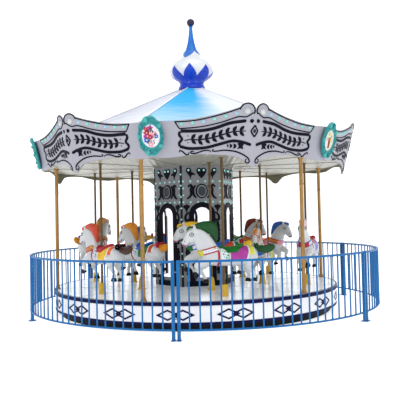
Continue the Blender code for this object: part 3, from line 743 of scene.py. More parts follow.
BOARD_LINES = [  # width, height, steps, taper, path
    (0.018, 0.005, 5, False, mm("232 3115, 250 3065, 268 3022, 279 3011, 300 3010, 490 3034, 675 3092,"
                                "830 3166, 910 3165, 976 3222")),
    (0.018, 0.005, 5, False, mm("235 3107, 350 3112, 472 3134, 620 3182, 740 3232, 812 3268, 845 3283")),
    (0.046, 0.006, 5, False, mm("285 2973, 480 2977, 620 3013, 760 3080, 900 3107")),
    (0.038, 0.006, 5, False, mm("279 2968, 270 2919, 295 2861, 267 2805, 273 2755")),
    (0.042, 0.006, 5, False, mm("273 2755, 371 2724, 529 2735, 666 2783, 784 2824, 883 2807, 965 2768")),
    (0.021, 0.005, 5, True, mm("262 2672, 272 2697, 298 2680, 325 2642, 342 2636, 356 2644, 360 2672")),
    (0.021, 0.005, 5, True, mm("408 2674, 395 2686, 378 2676, 379 2660, 402 2652, 435 2658, 493 2686,"
                               "529 2694, 565 2690, 574 2666")),
    (0.022, 0.005, 5, True, mm("606 2708, 592 2698, 600 2680, 650 2684, 705 2692, 782 2684, 845 2662,"
                               "905 2622, 948 2580, 966 2543, 962 2507, 943 2507, 927 2531,"
                               "930 2556, 942 2562")),
    (0.024, 0.005, 5, False, mm("998.5 3045, 988 3015, 966 2962, 988 2905, 998.5 2878")),
    (0.018, 0.005, 5, False, mm("998.5 2985, 990.5 2962, 998.5 2938")),
]
STEM = mm("318 2838, 385 2856, 452 2846, 519 2858, 586 2874, 653 2900, 720 2930, 787 2956, 854 2962,"
          "915 2966")
LEAF = mm("0 0, 24.5 21.84, 49 26, 73.5 17.68, 98 0, 73.5 -17.68, 49 -26, 24.5 -21.84")
SPRIG = mm("740 2758 15 21, 770 2754 22 32, 808 2750 26 38")
SPRIG_BLOCK = mm("836 2786, 853 2748, 837 2706, 868 2718, 899 2704, 893 2745, 910 2798, 872 2806")
DOTS = mm("900 3107 23, 965 2768 17, 966 3106 29")
LAMPS = mm("295 3076, 400 3088, 505 3106, 610 3140, 715 3180, 815 3214")


def board_lift(k, half):
    """Surface coordinates on a board half: x metres from the medallion corner to the crest, then height."""
    corner = BOARD_AZ + SECTOR * (k + half)
    crest = BOARD_AZ + SECTOR * (k + 0.5)
    normal = (outward((corner + crest) / 2) - UP * 0.2511).normalized()

    def lift(p, off):
        radius = BOARD_LOW_R + (p[1] - BOARD_LOW_Z) * BOARD_LEAN
        return polar(radius, corner, p[1]).lerp(polar(radius, crest, p[1]), p[0] / BOARD_HALF) + normal * off

    return lift, normal


def board_xy(points):
    """Metres along the board from shares of its half width."""
    return [(u * BOARD_HALF, z) for u, z in points]


def make_boards():
    """Lamps and navy brushwork on the rounding boards; a leafy branch fills each cartouche."""
    knob_x = BOARD_HALF - 0.124
    knob = [(knob_x + 0.108 * cos(a), 3.25 + 0.108 * sin(a)) for a in sweep(170.0, -24.4, 13)]
    stem = board_xy(STEM)
    flat = [board_xy(SPRIG_BLOCK)]
    crescent = [(1.5 * cos(t) - 0.6, sin(t)) for t in sweep(-90, 90, 9)]
    crescent += [(0.35 * cos(t) - 0.6, sin(t)) for t in sweep(72, -72, 7)]
    for u, z, reach, high in SPRIG:
        flat.append(board_xy([(u + reach * a, z + high * b) for a, b in crescent]))
    leaves = []
    for (x0, z0), (x, z), (x1, z1) in zip(stem, stem[1:], stem[2:]):
        for s in (-1, 1):
            leaves.append(turned(LEAF, x, z + 0.004 * s, atan2(z1 - z0, x1 - x0) + s * 0.80))
            flat.append(disc((x - 0.050, z + s * 0.048), 0.0095, 8))
    for k in range(SECTORS):
        shapes = Shapes()
        lamps = Shapes()
        for half in (0, 1):
            lift, normal = board_lift(k, half)
            for width, high, steps, taper, path in BOARD_LINES:
                shapes.add("ink", stroke(board_xy(path), width, lift, high, steps, taper))
            shapes.add("ink", stroke(stem, 0.022, lift, 0.005, 4, True))
            shapes.add("ink", stroke(knob, 0.020, lift, 0.005, 2))
            for outlines, high in ((flat, 0.005), (leaves, 0.006)):
                for outline in outlines:
                    shapes.add("ink", slab([outline], lift, high))
            for u, z, radius in DOTS:
                shapes.add("ink", slab([disc((u * BOARD_HALF, z), radius, 14)], lift, 0.0055))
            lamps.add("pearl", dome(lift((knob_x, 3.242), 0.0), normal, 0.046, 0.030, 16, 4))
            for i, p in enumerate(board_xy(LAMPS)):
                lamps.add("board", dome(lift(p, 0.0), normal, 0.030, 0.004, 12, 1))
                glass = dome(lift(p, 0.003), normal, 0.025, 0.022, 12, 3)
                lamps.add("azure" if i % 3 == 2 else "mint", glass)
        shapes.piece(f"board_ornament_{k + 1}", "board_paint", angle=30)
        lamps.piece(f"board_lamps_{k + 1}", "board_paint")


# Medallions


def medallion_place(k):
    """Place of a medallion: x across, y up the leaning corner, z outwards; and the outward direction."""
    azimuth = BOARD_AZ + SECTOR * k
    side = along(azimuth)
    up = (UP + outward(azimuth) * BOARD_LEAN).normalized()
    out = side.cross(up).normalized()
    centre = polar(BOARD_LOW_R + (2.91 - BOARD_LOW_Z) * BOARD_LEAN + 0.0003, azimuth, 2.91)
    return Matrix.Translation(centre) @ Matrix((side, up, out)).transposed().to_4x4(), out


def relief(rings, sides, place):
    """Closed relief from outlines (functions of angle) at heights."""
    return skin_rings([[place @ Vector((*line(a), high)) for a in circle(sides)] for line, high in rings])


def frame_line(grow):
    """Scalloped outline of the frame, pointed at the top."""
    def outline(a):
        ripple = grow * (0.97 + 0.06 * abs(cos(5 * a)) ** 0.6)
        point = 1.0 + 0.05 * exp(-((degrees(a) - 90) / 16) ** 2)
        return 0.192 * ripple * cos(a), 0.284 * ripple * point * sin(a)
    return outline


def oval_line(grow):
    """Outline of the oval picture."""
    return lambda a: (0.142 * grow * cos(a), 0.176 * grow * sin(a))


def between(f):
    """Outline between the frame's inner rim at 0 and the oval at 1."""
    return lambda a: tuple(p + (q - p) * f for p, q in zip(frame_line(0.92)(a), oval_line(1.0)(a)))


def flower(shapes, place, out, x, y, size, petals, keys, high):
    """Small relief flower with rounded petals."""
    for i in circle(petals):
        def petal(t, turn=i + size * 60):
            return turned([(size * (0.55 + 0.52 * cos(t)), size * 0.36 * sin(t))], x, y, turn)[0]

        shapes.add(keys[0], relief([(petal, high - 0.004), (petal, high + 0.003)], 9, place))
    shapes.add(keys[1], dome(place @ Vector((x, y, high + 0.002)), out, size * 0.28, size * 0.2, 8, 2))


RELIEF = [(frame_line(0.97), 0.0), (frame_line(1.0), 0.010), (frame_line(1.0), 0.022),
          (frame_line(0.965), 0.036), (between(0.0), 0.030), (between(0.35), 0.022), (between(0.65), 0.030),
          (between(0.85), 0.038), (between(1.0), 0.030), (oval_line(0.95), 0.018)]
PANEL = [(oval_line(0.97), 0.012), (oval_line(0.97), 0.020), (oval_line(0.88), 0.023)]
LEAF_RADII = [0.006, 0.012, 0.017, 0.020, 0.022, 0.021, 0.018, 0.013, 0.006]
CURL = mm("0 20, 40 28, 85 6, 100 -30, 75 -48, 58 -28")
POSIES = (  # palettes, places and sizes of the flowers, leaf paint, panel, girth of the leaves
    ([("crimson", "pink"), ("pink", "white"), ("magenta", "crimson"), ("blue", "white"), ("white", "pink")],
     mm("-45 45 46, 42 30 46, 0 105 40, -52 -48 42, 48 -52 42, 0 -12 36, 0 -108 38, -70 0 26, 74 -5 26,"
        "58 92 28, -58 98 28"), "pine", "white", 0.009),
    ([("yellow", "rust"), ("lemon", "amber"), ("pink", "lemon")],
     mm("-20 85 24, 34 60 22, -40 20 20, 18 5 22"), "rust", "cream", 0.001),
)


def make_medallions():
    """Scalloped relief frames with leaf crests and a posy of plain flowers in each oval."""
    rng = random.Random(3)
    for k in range(SECTORS):
        place, out = medallion_place(k)
        palettes, spots, leaf, panel, girth = POSIES[k % 2]
        shapes = Shapes()
        verts, faces = relief(RELIEF, 96, place)
        shapes.add("teal", (verts, faces[:-1]))
        shapes.add(panel, relief(PANEL, 48, place))
        bead = [place @ Vector((*oval_line(1.03)(a), 0.036)) for a in circle(40)]
        shapes.add("teal_light", tube(bead, 0.0045, 6, closed=True, up=out))
        for i, a in enumerate(circle(10)):
            x, y = between(0.7)(a)
            tip = frame_line(0.99)(a)
            path = [(x, y, 0.028), ((x + tip[0]) / 2, (y + tip[1]) / 2, 0.037), (*tip, 0.030)]
            path = smooth_path([place @ Vector(p) for p in path], 4)
            shapes.add("teal_light" if i % 2 else "teal", tube(path, LEAF_RADII, 8, 1.6, out))
        for s in (-1, 1):
            for y0, d in ((0.255, 1), (-0.250, -1)):
                path = smooth_path([place @ Vector((s * x, y0 + d * y, 0.034)) for x, y in CURL], 4)
                shapes.add("teal_light", tube(path, spread(0.012, 0.005, len(path)), 7, 1.0, out))
        shapes.piece(f"medallion_frame_{k + 1}", "teal_paint", replaces=[f"medallion_{k + 1}"], angle=50)
        posy = Shapes()
        for i, (x, y, size) in enumerate(spots):
            x = x * 1.2 + rng.uniform(-0.004, 0.004)
            keys = palettes[(i + k // 2) % len(palettes)]
            flower(posy, place, out, x, y * 1.1, size * 1.1, 5 + i % 2, keys, 0.025 + 0.0012 * i)
        for i in range(9):
            a = radians(200 + 35 * i)
            x = 0.092 * cos(a)
            y = 0.135 * sin(a) - 0.005
            path = [(x * 0.35, y * 0.4), (x * 0.75, y * 0.72 + 0.01), (x, y)]
            if k % 2:
                x = i - 4
                path = [(0.004 * x, -0.125), (0.006 * x, -0.03), (0.011 * x, 0.02 + 0.012 * (i % 4))]
            path = smooth_path([place @ Vector((*p, 0.0245)) for p in path], 3)
            radii = [0.003 + girth * sin(a) for a in sweep(0, 180, len(path))]
            posy.add(leaf, tube(path, radii, 6, 1.0, out))
        posy.piece(f"medallion_posy_{k + 1}", "teal_paint", angle=50)


# Finial

BULB = mm("276 4190.3, 262 4235, 236 4300, 262 4360, 345 4420, 395 4470, 423.5 4530, 423.5 4580, 408 4640,"
          "375 4690, 330 4735, 280 4780, 232 4825, 188 4870, 150 4920, 119 4959")
SPIRE = mm("119 4960.3, 104 5000, 88 5050, 70 5120, 55 5200, 44 5280, 36 5360, 31 5430")
COLLAR = mm("40 5435, 44 5441, 40 5447, 30 5450, 30 5453")


def petal_crown(profile, z_top, z_notch, z_tip, petals, turn, thickness):
    """Ring of pointed petals that hang down a turned profile."""
    rows = 16
    steps = 12

    def point(layer, j, i):
        foot = z_notch + (z_tip - z_notch) * abs(i / steps % 1.0 * 2 - 1)
        z = z_top + (foot - z_top) * j / rows
        (r0, z0), (r1, z1) = next(pair for pair in zip(profile, profile[1:]) if z <= pair[1][1])
        return polar(r0 + (r1 - r0) * (z - z0) / (z1 - z0) + layer, 360.0 * i / (petals * steps) + turn, z)

    levels = [(thickness, j) for j in range(rows + 1)] + [(0.0008, j) for j in range(rows, -1, -1)]
    return skin_rings([[point(*level, i) for i in range(petals * steps)] for level in levels], closed=True)


def make_finial():
    """Glossy onion bulb with a zigzag crown of pointed petals, and the spire with its ball."""
    bulb = Shapes()
    profile = smooth_profile(BULB)
    bulb.add("royal", lathe(profile, 64))
    bulb.add("white", petal_crown(profile, 4.957, 4.625, 4.41, 8, 17.5, 0.007))
    bulb.add("sky", petal_crown(profile, 4.958, 4.925, 4.76, 4, -22.0, 0.0105))
    bulb.piece("finial_bulb", "royal_blue", replaces=["onion_bulb"], angle=40)
    spire = Shapes()
    spire.add("sky", lathe(smooth_profile(SPIRE) + COLLAR, 40))
    sphere = [(0.0765 * sin(a), 5.520 - 0.0765 * cos(a)) for a in sweep(9, 171, 19)]
    spire.add("ball", lathe([(0.016, 5.4465)] + sphere + [(0.008, 5.5965)], 40))
    spire.piece("finial_spire", "royal_blue", replaces=["spire"], angle=40)


# Fence

POST_SECTION = mm("-23.5 -16.92, -16.92 -23.5, 16.92 -23.5, 23.5 -16.92, 23.5 16.92, 16.92 23.5, -16.92 23.5,"
                  "-23.5 16.92")
POST_LEVELS = ((0.006, 1.0), (FENCE_H - 0.006, 1.0), (FENCE_H - 0.001, 0.92), (FENCE_H + 0.002, 0.7))
PLATE_SECTION = mm("-33 -60, 33 -60, 33 60, -33 60")
PLATE_LEVELS = ((0.0, 1.0), (0.006, 1.0), (0.008, 0.95))


def fence_point(azimuth, z):
    """Point on the fence ring, whose centre is not on the ride's axis."""
    return polar(FENCE_R, azimuth, z) + FENCE_CENTRE


def fence_block(azimuth, section, levels):
    """Upright block on the fence ring, from a section and (height, scale) levels."""
    return skin_rings([[fence_point(azimuth, z) + (along(azimuth) * x + outward(azimuth) * y) * grow
                        for x, y in section] for z, grow in levels])


def make_fence():
    """Six curved fence modules of round tube, welded rods, feet and couplings."""
    top = FENCE_H - 0.018
    low = 0.145
    for k in range(SECTORS):
        joint = FENCE_AZ + SECTOR * k
        start = joint + FENCE_GAP
        end = joint + SECTOR - FENCE_GAP
        shapes = Shapes()
        for z, r in ((top, 0.0175), (low, 0.0155)):
            shapes.add("fence", tube([fence_point(a, z) for a in spread(start, end, 41)], r, 10))
        for azimuth, sign in ((start, 1), (end, -1)):
            shapes.add("fence", fence_block(azimuth, POST_SECTION, POST_LEVELS))
            shapes.add("fence", fence_block(azimuth, PLATE_SECTION, PLATE_LEVELS))
            out = outward(azimuth) * 0.044
            side = along(azimuth) * sign
            base = fence_point(azimuth, 0.0075)
            studs(shapes, "steel", [base - out, base + out], UP, 0.010, 0.006, 6, 1)
            spots = [fence_point(azimuth, z) + side * 0.026 for z in (0.32, 0.93)]
            studs(shapes, "steel", spots, side, 0.009, 0.006, 6, 1)
        for z in (0.30, 0.95):
            ends = [fence_point(joint, z) + along(joint) * s for s in (-0.0145, 0.0145)]
            shapes.add("steel", tube(ends, 0.009))
        for azimuth in spread(start, end, FENCE_RODS + 2)[1:-1]:
            collars = ((0.0145, 0.154, 0.166), (0.0145, top - 0.023, top - 0.011))
            for r, *heights in ((0.0122, low, 0.6, top), *collars):
                shapes.add("fence", tube([fence_point(azimuth, z) for z in heights], r, up=(1, 0, 0)))
        shapes.piece(f"fence_module_{k + 1}", "fence_blue", "base", [f"fence_panel_{k + 1}"], 40)


# Horses; local frame: +X forward, the pole on the Z axis, heights as in the middle of the travel

TRUNK = mm("-560 1140 20 20, -545 1140 80 85, -490 1135 125 130, -400 1130 148 150, -280 1125 148 148,"
           "-80 1115 140 140, 60 1115 138 142, 160 1140 135 155, 235 1215 118 165, 285 1300 98 158,"
           "330 1375 83 145, 375 1440 73 125, 420 1485 66 105, 460 1500 60 90")
TRUNK_TILTS = [0, 0, 0, 0, -5, 0, 5, 20, 40, 48, 50, 45, 35, 0]
HEAD = mm("400 1545 30 40, 425 1530 60 80, 475 1490 72 105, 530 1445 66 95, 575 1400 54 75, 605 1365 48 60,"
          "628 1340 44 52, 645 1322 28 33")
BALLS = [((0.515, 0.0, 1.425), (0.072, 0.066, 0.078), 0), ((0.620, 0.0, 1.352), (0.046, 0.050, 0.052), 40),
         ((0.600, 0.0, 1.322), (0.048, 0.036, 0.026), 30), ((0.235, 0.0, 1.155), (0.135, 0.130, 0.120), 0)]
LEGS = [
    (0.078, mm("200 1100 95, 360 1040 70, 455 1000 46, 420 925 30, 405 895 28, 435 865 36")),
    (-0.078, mm("200 1090 95, 310 990 66, 390 940 44, 330 860 30, 295 805 27, 275 765 36")),
    (0.082, mm("-410 1100 120, -390 1000 80, -385 945 48, -470 870 33, -485 820 28, -475 775 37")),
    (-0.082, mm("-400 1090 120, -360 990 78, -345 935 46, -430 855 32, -440 800 28, -425 755 37")),
]
HOOVES = [(0.455, 0.85, 0.078, 35), (0.272, 0.748, -0.078, -12), (-0.475, 0.757, 0.082, -8),
          (-0.424, 0.738, -0.082, -5)]
HOOF = mm("40 -30, 50 -28, 50 -18, 40 18, 33 26, 24 30")
CREST = mm("535 1585, 470 1600, 426 1585, 356 1570, 286 1545, 226 1500, 166 1440, 107 1340")
FLOW = mm("570 1600, 480 1650, 397 1675, 320 1688, 248 1689, 170 1682, 105 1640, 85 1530, 82 1430, 95 1320")
TAIL = mm("-500 1225 22, -560 1232 40, -620 1226 56, -690 1218 62, -750 1226 60, -800 1246 54, -835 1272 42,"
          "-850 1286 12")
BOW = mm("-525 0 1262, -530 45 1305, -545 85 1290, -545 75 1250, -535 0 1255")
ACROSS = (0, 1, 0)


def loft(rings, tilts):
    """Closed body through tilted oval rings of (x, z, half width, half height)."""
    out = []
    for (x, z, half_w, half_h), tilt in zip(rings, tilts):
        a = radians(tilt)
        heights = [(half_h * sin(t), half_w * cos(t)) for t in circle(24)]
        out.append([(x - h * sin(a), w, z + h * cos(a)) for h, w in heights])
    return skin_rings(out)


def ball(centre, radii, turn=0.0):
    """Ellipsoid with its axes turned about Y."""
    spin = Matrix.Rotation(radians(turn), 4, "Y")
    profile = [(sin(a) + 0.001, -cos(a)) for a in sweep(0, 180, 13)]
    return lathe(profile, 16, Matrix.Translation(centre) @ spin @ Matrix.Diagonal((*radii, 1)))


def horse_mesh():
    """White horse of one smooth skin, remeshed from overlapping forms."""
    forms = [loft(TRUNK, TRUNK_TILTS), loft(HEAD, [-43] * len(HEAD))] + [ball(*form) for form in BALLS]
    for s in (-1, 1):
        forms.append(ball((-0.42, 0.060 * s, 1.135), (0.120, 0.100, 0.140)))
        forms.append(ball((0.550, 0.040 * s, 1.462), (0.030, 0.022, 0.018), 45))
        ear = [(x, y * s, z) for x, y, z in mm("462 36 1575, 468 40 1605, 474 44 1632, 474 43 1646")]
        forms.append(tube(ear, [0.020, 0.027, 0.021, 0.008], 10))
    for y, path in LEGS:
        centres = smooth_path([(x, y * (0.82 if i < 1 else 1.0), z) for i, (x, z, _) in enumerate(path)], 4)
        forms.append(tube(centres, smooth_numbers([r for _, _, r in path], 4), 12, up=ACROSS))
    shapes = Shapes()
    for form in forms:
        shapes.add("hide", form)
    shell = put("horse_forms", shapes.mesh("horse_forms"))
    remesh = shell.modifiers.new("Remesh", "REMESH")
    remesh.mode = "VOXEL"
    remesh.voxel_size = 0.0125
    soften = shell.modifiers.new("Smooth", "SMOOTH")
    soften.factor = 0.5
    soften.iterations = 7
    skin = bpy.data.meshes.new_from_object(shell.evaluated_get(bpy.context.evaluated_depsgraph_get()))
    skin.name = "horse_skin"
    bpy.data.objects.remove(shell, do_unlink=True)
    skin.materials.clear()
    skin.materials.append(M["hide"])
    skin.shade_smooth()
    return skin


class Hide:
    """The horse's skin, as a surface to lay things on."""

    def __init__(self, mesh):
        verts = [v.co.copy() for v in mesh.vertices]
        self.tree = BVHTree.FromPolygons(verts, [tuple(p.vertices) for p in mesh.polygons])

    def side(self, x, z, s):
        """Skin point and normal seen straight from one side; near the middle where there is none."""
        hit, normal, _, _ = self.tree.ray_cast(Vector((x, 0.6 * s, z)), Vector((0, -s, 0)), 1.2)
        return (hit, normal) if hit else (Vector((x, 0.02 * s, z)), Vector((0, s, 0)))

    def stud(self, x, z, s, off, *size):
        """Dome on one side."""
        hit, normal = self.side(x, z, s)
        return dome(hit + normal * off, normal, *size)

    def line(self, points, s, radius, off=0.0):
        """Thin rounded line on one side."""
        path = [self.side(x, z, s) for x, z in smooth_profile(points, 4)]
        return tube([hit + normal * off for hit, normal in path], radius, 6)

    def band(self, centre, ahead, across, angles, low, high, thick, rows=4, closed=False):
        """Layer on the horse: rays from a centre line inside it find its skin at each angle."""
        ahead = Vector(ahead)
        across = Vector(across)
        width = ahead.cross(across)
        rings = []
        for angle in angles:
            d = ahead * cos(radians(angle)) + across * sin(radians(angle))
            edges = [edge(angle) if callable(edge) else edge for edge in (low, high)]
            inner = []
            outer = []
            for j, reach in enumerate(spread(*edges, rows + 1)):
                p = Vector(centre) + width * reach
                hit, normal, _, _ = self.tree.ray_cast(p, d, 0.45)
                if hit is None:
                    hit, normal = p + d * 0.02, d
                if normal.dot(d) < 0:
                    normal = -normal
                inner.append(hit - d * 0.008)
                outer.append(hit + normal * (thick * (0.45 if j in (0, rows) else 1.0)))
            rings.append(inner + outer[::-1])
        verts, faces = skin_rings(rings, closed, caps=False)
        if not closed:
            last = 2 * rows + 1
            for base in (0, len(verts) - last - 1):
                faces += [(base + j, base + j + 1, base + last - j - 1, base + last - j) for j in range(rows)]
        return verts, faces


def curve_at(points, s):
    """Point at a fraction of a polyline's index."""
    f = min(max(s, 0.0), 1.0) * (len(points) - 1)
    i = min(int(f), len(points) - 2)
    (x0, z0), (x1, z1) = points[i:i + 2]
    return Vector((x0, 0, z0)).lerp(Vector((x1, 0, z1)), f - i)


def blade(rings, grooves, sides=36):
    """Closed sculpted hair mass from oval rings: centre, half height vector and half width."""
    swells = [(a, 1.0 + 0.07 * cos(grooves * a)) for a in circle(sides)]
    return skin_rings([[centre + half * (sin(a) * swell) + Vector((0, width * cos(a) * swell, 0))
                        for a, swell in swells] for centre, half, width in rings])


def add_mane(shapes, key, reach):
    """Sculpted mane that sweeps back from the crest of the neck, with grooves along it, and the forelock."""
    rings = []
    for s in spread(0, 1, 27):
        root = curve_at(CREST, s * 0.96) - UP * 0.020
        tip = curve_at(CREST, s + 0.10).lerp(curve_at(FLOW, s * 0.86 + 0.15), reach)
        close = max(0.04, (1.0 - abs(2.0 * s - 1.0) ** 5) ** 0.5)
        rings.append(((root + tip) / 2, (tip - root) / 2 * close, (0.032 + 0.022 * reach) * close))
    shapes.add(key, blade(rings, 9))
    for s in (-1, 1):
        path = smooth_path([(0.50, 0.012 * s, 1.60), (0.552, 0.018 * s, 1.592), (0.585, 0.012 * s, 1.545)], 4)
        radii = [0.022 * (0.30 + 0.70 * sin(pi * t)) for t in spread(0.16, 1.0, len(path))]
        shapes.add(key, tube(path, radii[:-1] + [0.0022], 8, 0.8, up=ACROSS))


def add_tail(shapes, key, bow, stretch):
    """Short crescent tail that stands back from the rump, with a bow at its root."""
    spine = smooth_path([(-0.50 + (x + 0.50) * stretch, 0, z) for x, z, _ in TAIL], 3)
    sizes = smooth_numbers([size for _, _, size in TAIL], 3)
    rings = []
    for i, (p, size) in enumerate(zip(spine, sizes)):
        ahead = spine[min(i + 1, len(spine) - 1)] - spine[max(i - 1, 0)]
        rings.append((p, Vector((-ahead.z, 0, ahead.x)).normalized() * size, size * 0.78))
    shapes.add(key, blade(rings, 7, 28))
    for s in (-1, 1):
        loop = smooth_path([(x, y * s, z) for x, y, z in BOW], 4)
        shapes.add(bow, tube(loop, 0.013, 8, 1.7, up=(1, 0, 0)))
    shapes.add(bow, ball((-0.535, 0, 1.262), (0.020, 0.024, 0.022)))


def add_face(shapes, hide, strap):
    """Painted eyes, nostrils, mouth and, unless its paint is none, the bridle."""
    for s in (-1, 1):
        hit, normal = hide.side(0.522, 1.487, s)
        lid = disc((0.522, 1.485), 0.031, 18, 26 / 31)
        outline = [hide.side(x, z, s)[0] + normal * 0.003 for x, z in lid]
        shapes.add("hoof", tube(outline, 0.0060, 6, closed=True, up=normal))
        shapes.add("eye_white", dome(hit - normal * 0.002, normal, 0.027, 0.009, 18, 3))
        shapes.add("iris", dome(hit + normal * 0.004, normal, 0.013, 0.006, 16, 3))
        glint = hit + normal * 0.009 + Vector((0.004, 0, 0.004))
        shapes.add("eye_white", dome(glint, normal, 0.003, 0.002, 8, 1))
        shapes.add("hoof", hide.stud(0.632, 1.384, s, -0.002, 0.009, 0.005, 10, 2))
        shapes.add("lip", hide.line(mm("640 1322, 610 1318, 580 1324, 560 1342, 546 1362"), s, 0.0065))
        shapes.add("pink", hide.stud(0.468, 1.606, s, -0.003, 0.011, 0.006, 10, 2))
    for s in (-1, 0, 1):
        path = [(x - 0.008 * abs(s), 0.022 * s, z) for x, z in mm("655 1340, 645 1318, 618 1302")]
        shapes.add("lip", tube(smooth_path(path, 3), 0.010, 8, 1.3, up=ACROSS))
    if strap != "none":
        ring = spread(0, 345, 24)
        shapes.add(strap, hide.band((0.572, 0, 1.392), UP, ACROSS, ring, -0.011, 0.011, 0.008, 2, True))
        brow = Vector((0.731, 0, 0.682)).normalized()
        shapes.add(strap, hide.band((0.462, 0, 1.50), brow, ACROSS, ring, -0.010, 0.010, 0.007, 2, True))
        for s in (-1, 1):
            shapes.add(strap, hide.line(mm("575 1352, 545 1400, 505 1440, 470 1500"), s, 0.0085))
            shapes.add("gold", hide.stud(0.560, 1.375, s, -0.002, 0.018, 0.012, 14, 3))
            rein = mm("560 1375, 470 1335, 360 1335, 240 1375, 160 1365")
            shapes.add(strap, hide.line(rein, s, 0.0065, 0.003))


def add_tack(shapes, hide, p):
    """Saddle, blanket, breast strap, girth and rump band as raised painted relief."""
    p = {**p, "girth": "crimson", "trim": "white"}

    def blanket_front(a):
        return -0.085 + 0.00013 * abs(90 - a)

    def blanket_back(a):
        return -0.385 + 0.0009 * max(0.0, abs(90 - a) - 60)

    def seat_front(a):
        return 0.055 - 0.0011 * abs(90 - a)

    def seat_back(a):
        return -0.330 + 0.0022 * abs(90 - a)

    arc = spread(202, -22, 33)
    hip = spread(168, 12, 27)
    hoops = [
        ("blanket", 0, arc, blanket_back, blanket_front, 0.010, 6),
        ("saddle", 0, spread(152, 28, 23), seat_back, seat_front, 0.026, 8),
        ("flap", 0, spread(190, 118, 12), -0.045, 0.070, 0.017, 4),
        ("flap", 0, spread(62, -10, 12), -0.045, 0.070, 0.017, 4),
        ("girth", 0.105, spread(42, -222, 40), -0.017, 0.017, 0.009, 3),
        ("band", -0.425, hip, -0.045, 0.035, 0.011, 4),
        ("trim", -0.425, hip, -0.057, -0.045, 0.014, 2),
    ]
    for edge in (blanket_back, blanket_front):
        low, high = (lambda a, e=edge, d=d: e(a) + d for d in (-0.010, 0.010))
        hoops.append(("trim", 0, arc, low, high, 0.016, 2))
    for key, x, *layer in hoops:
        shapes.add(p[key], hide.band((x, 0, 1.12), ACROSS, UP, *layer))
    for edge, inset, high in ((seat_front, -0.014, 0.006), (seat_back, 0.014, 0.012)):
        path = []
        for a in spread(-38, 38, 9):
            d = Vector((0, sin(radians(a)), cos(radians(a))))
            start = Vector((edge(90 - a) + inset, 0, 1.12)) + d * 0.5
            hit, normal, _, _ = hide.tree.ray_cast(start, -d, 0.6)
            path.append(hit + normal * (0.020 + high * d.z ** 3))
        radii = [0.012 + 0.012 * cos(a) for a in sweep(-80, 80, 9)]
        radii = [radii[min(8, i // 2)] for i in range(17)]
        shapes.add(p["saddle"], tube(smooth_path(path, 2), radii, 10, up=(1, 0, 0)))
    for s in (-1, 1):
        for i in range(3):
            for j in range(3):
                x = 0.040 - 0.034 * i - 0.008 * j
                z = 1.205 - 0.010 * i - 0.040 * j
                key = p["gem"] if (i + j) % 2 else "mint"
                shapes.add(key, hide.stud(x, z, s, 0.014, 0.0185, 0.008, 4, 2))
        shapes.add("gold", hide.stud(0.16, 1.265, s, 0.006, 0.020, 0.012, 14, 3))
    chest = Vector((0.30, 0, -0.075)).normalized()
    breast = ((0.17, 0, 1.245), chest, ACROSS)
    ring = spread(-118, 118, 41)
    for key, *layer in (
        ("strap", ring, -0.032, 0.032, 0.010, 4), ("edge", ring, -0.045, -0.027, 0.014, 2),
        ("edge", ring, 0.027, 0.045, 0.014, 2), ("breast", spread(-25, 25, 15), -0.052, 0.044, 0.018, 4),
    ):
        shapes.add(p[key], hide.band(*breast, *layer))
    for a in sweep(-96, 96, 17):
        d = chest * cos(a) + Vector(ACROSS) * sin(a)
        hit, normal, _, _ = hide.tree.ray_cast(Vector(breast[0]), d, 0.45)
        shapes.add("royal", dome(hit + normal * 0.007, normal, 0.008, 0.006, 6, 2))
    for x, z, side, tilt in HOOVES:
        at = Matrix.Translation((x, side, z)) @ Matrix.Rotation(radians(tilt), 4, "Y")
        shapes.add("hoof", lathe(HOOF, 16, at))


HORSES = """
horse mane saddle blanket strap edge band breast flap gem tail bow bridle reach
outer_1 pine green magenta white crimson lemon lemon white green pine pine none 1.0
outer_2 pink coral royal white blue pink crimson white pink pink crimson none 0.7
outer_3 blue orange green amber crimson pink pink pink orange blue crimson none 0.55
outer_4 gold crimson blue white royal orange orange white blue gold crimson none 0.6
outer_5 amber crimson yellow amber crimson orange orange white green amber violet none 0.85
outer_6 coral crimson yellow amber crimson orange amber white violet chestnut ink none 0.85
inner_1 yellow blue coral white royal green green white green yellow crimson none 0.6
inner_2 tangerine pink lemon amber rust blue blue white green tangerine crimson amber 0.5
inner_3 rust green pink amber crimson lemon lemon white green rust crimson amber 0.6
inner_4 chestnut orange green white green pink pink white green chestnut crimson none 0.55
inner_5 blue crimson yellow white crimson green green white green blue crimson gold 0.6
inner_6 tangerine blue green blue lemon coral coral white blue amber crimson none 0.8
"""


def make_horses():
    """Twelve horses of one skin, each with its own mane, tail, face and tack."""
    mesh = horse_mesh()
    hide = Hide(mesh)
    columns, *rows = (row.split() for row in HORSES.strip().splitlines())
    for row in rows:
        p = dict(zip(columns, row))
        name = p["horse"]
        ring, k = name.split("_")
        k = int(k) - 1
        azimuth = POLE_AZ + SECTOR * k
        place = Matrix.Translation(polar(POLE_RING_R[ring], azimuth, REST_LIFT[ring][k]))
        place = place @ Matrix.Rotation(radians(azimuth + 180.0), 4, "Z")
        body = f"ride_{name}"
        horse = put(f"horse_body_{name}", mesh)
        horse.matrix_world = place
        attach(horse, body)
        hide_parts(f"horse_{name}")
        hair = Shapes()
        add_mane(hair, p["mane"], float(p["reach"]))
        add_tail(hair, p["tail"], p["bow"], 1.0 if ring == "outer" else 0.62)
        hair.piece(f"horse_hair_{name}", "horse_white", body, angle=70, place=place)
        tack = Shapes()
        add_face(tack, hide, p["bridle"])
        add_tack(tack, hide, p)
        tack.piece(f"horse_tack_{name}", "horse_white", body, angle=50, place=place)


# The CAD nodes that stay


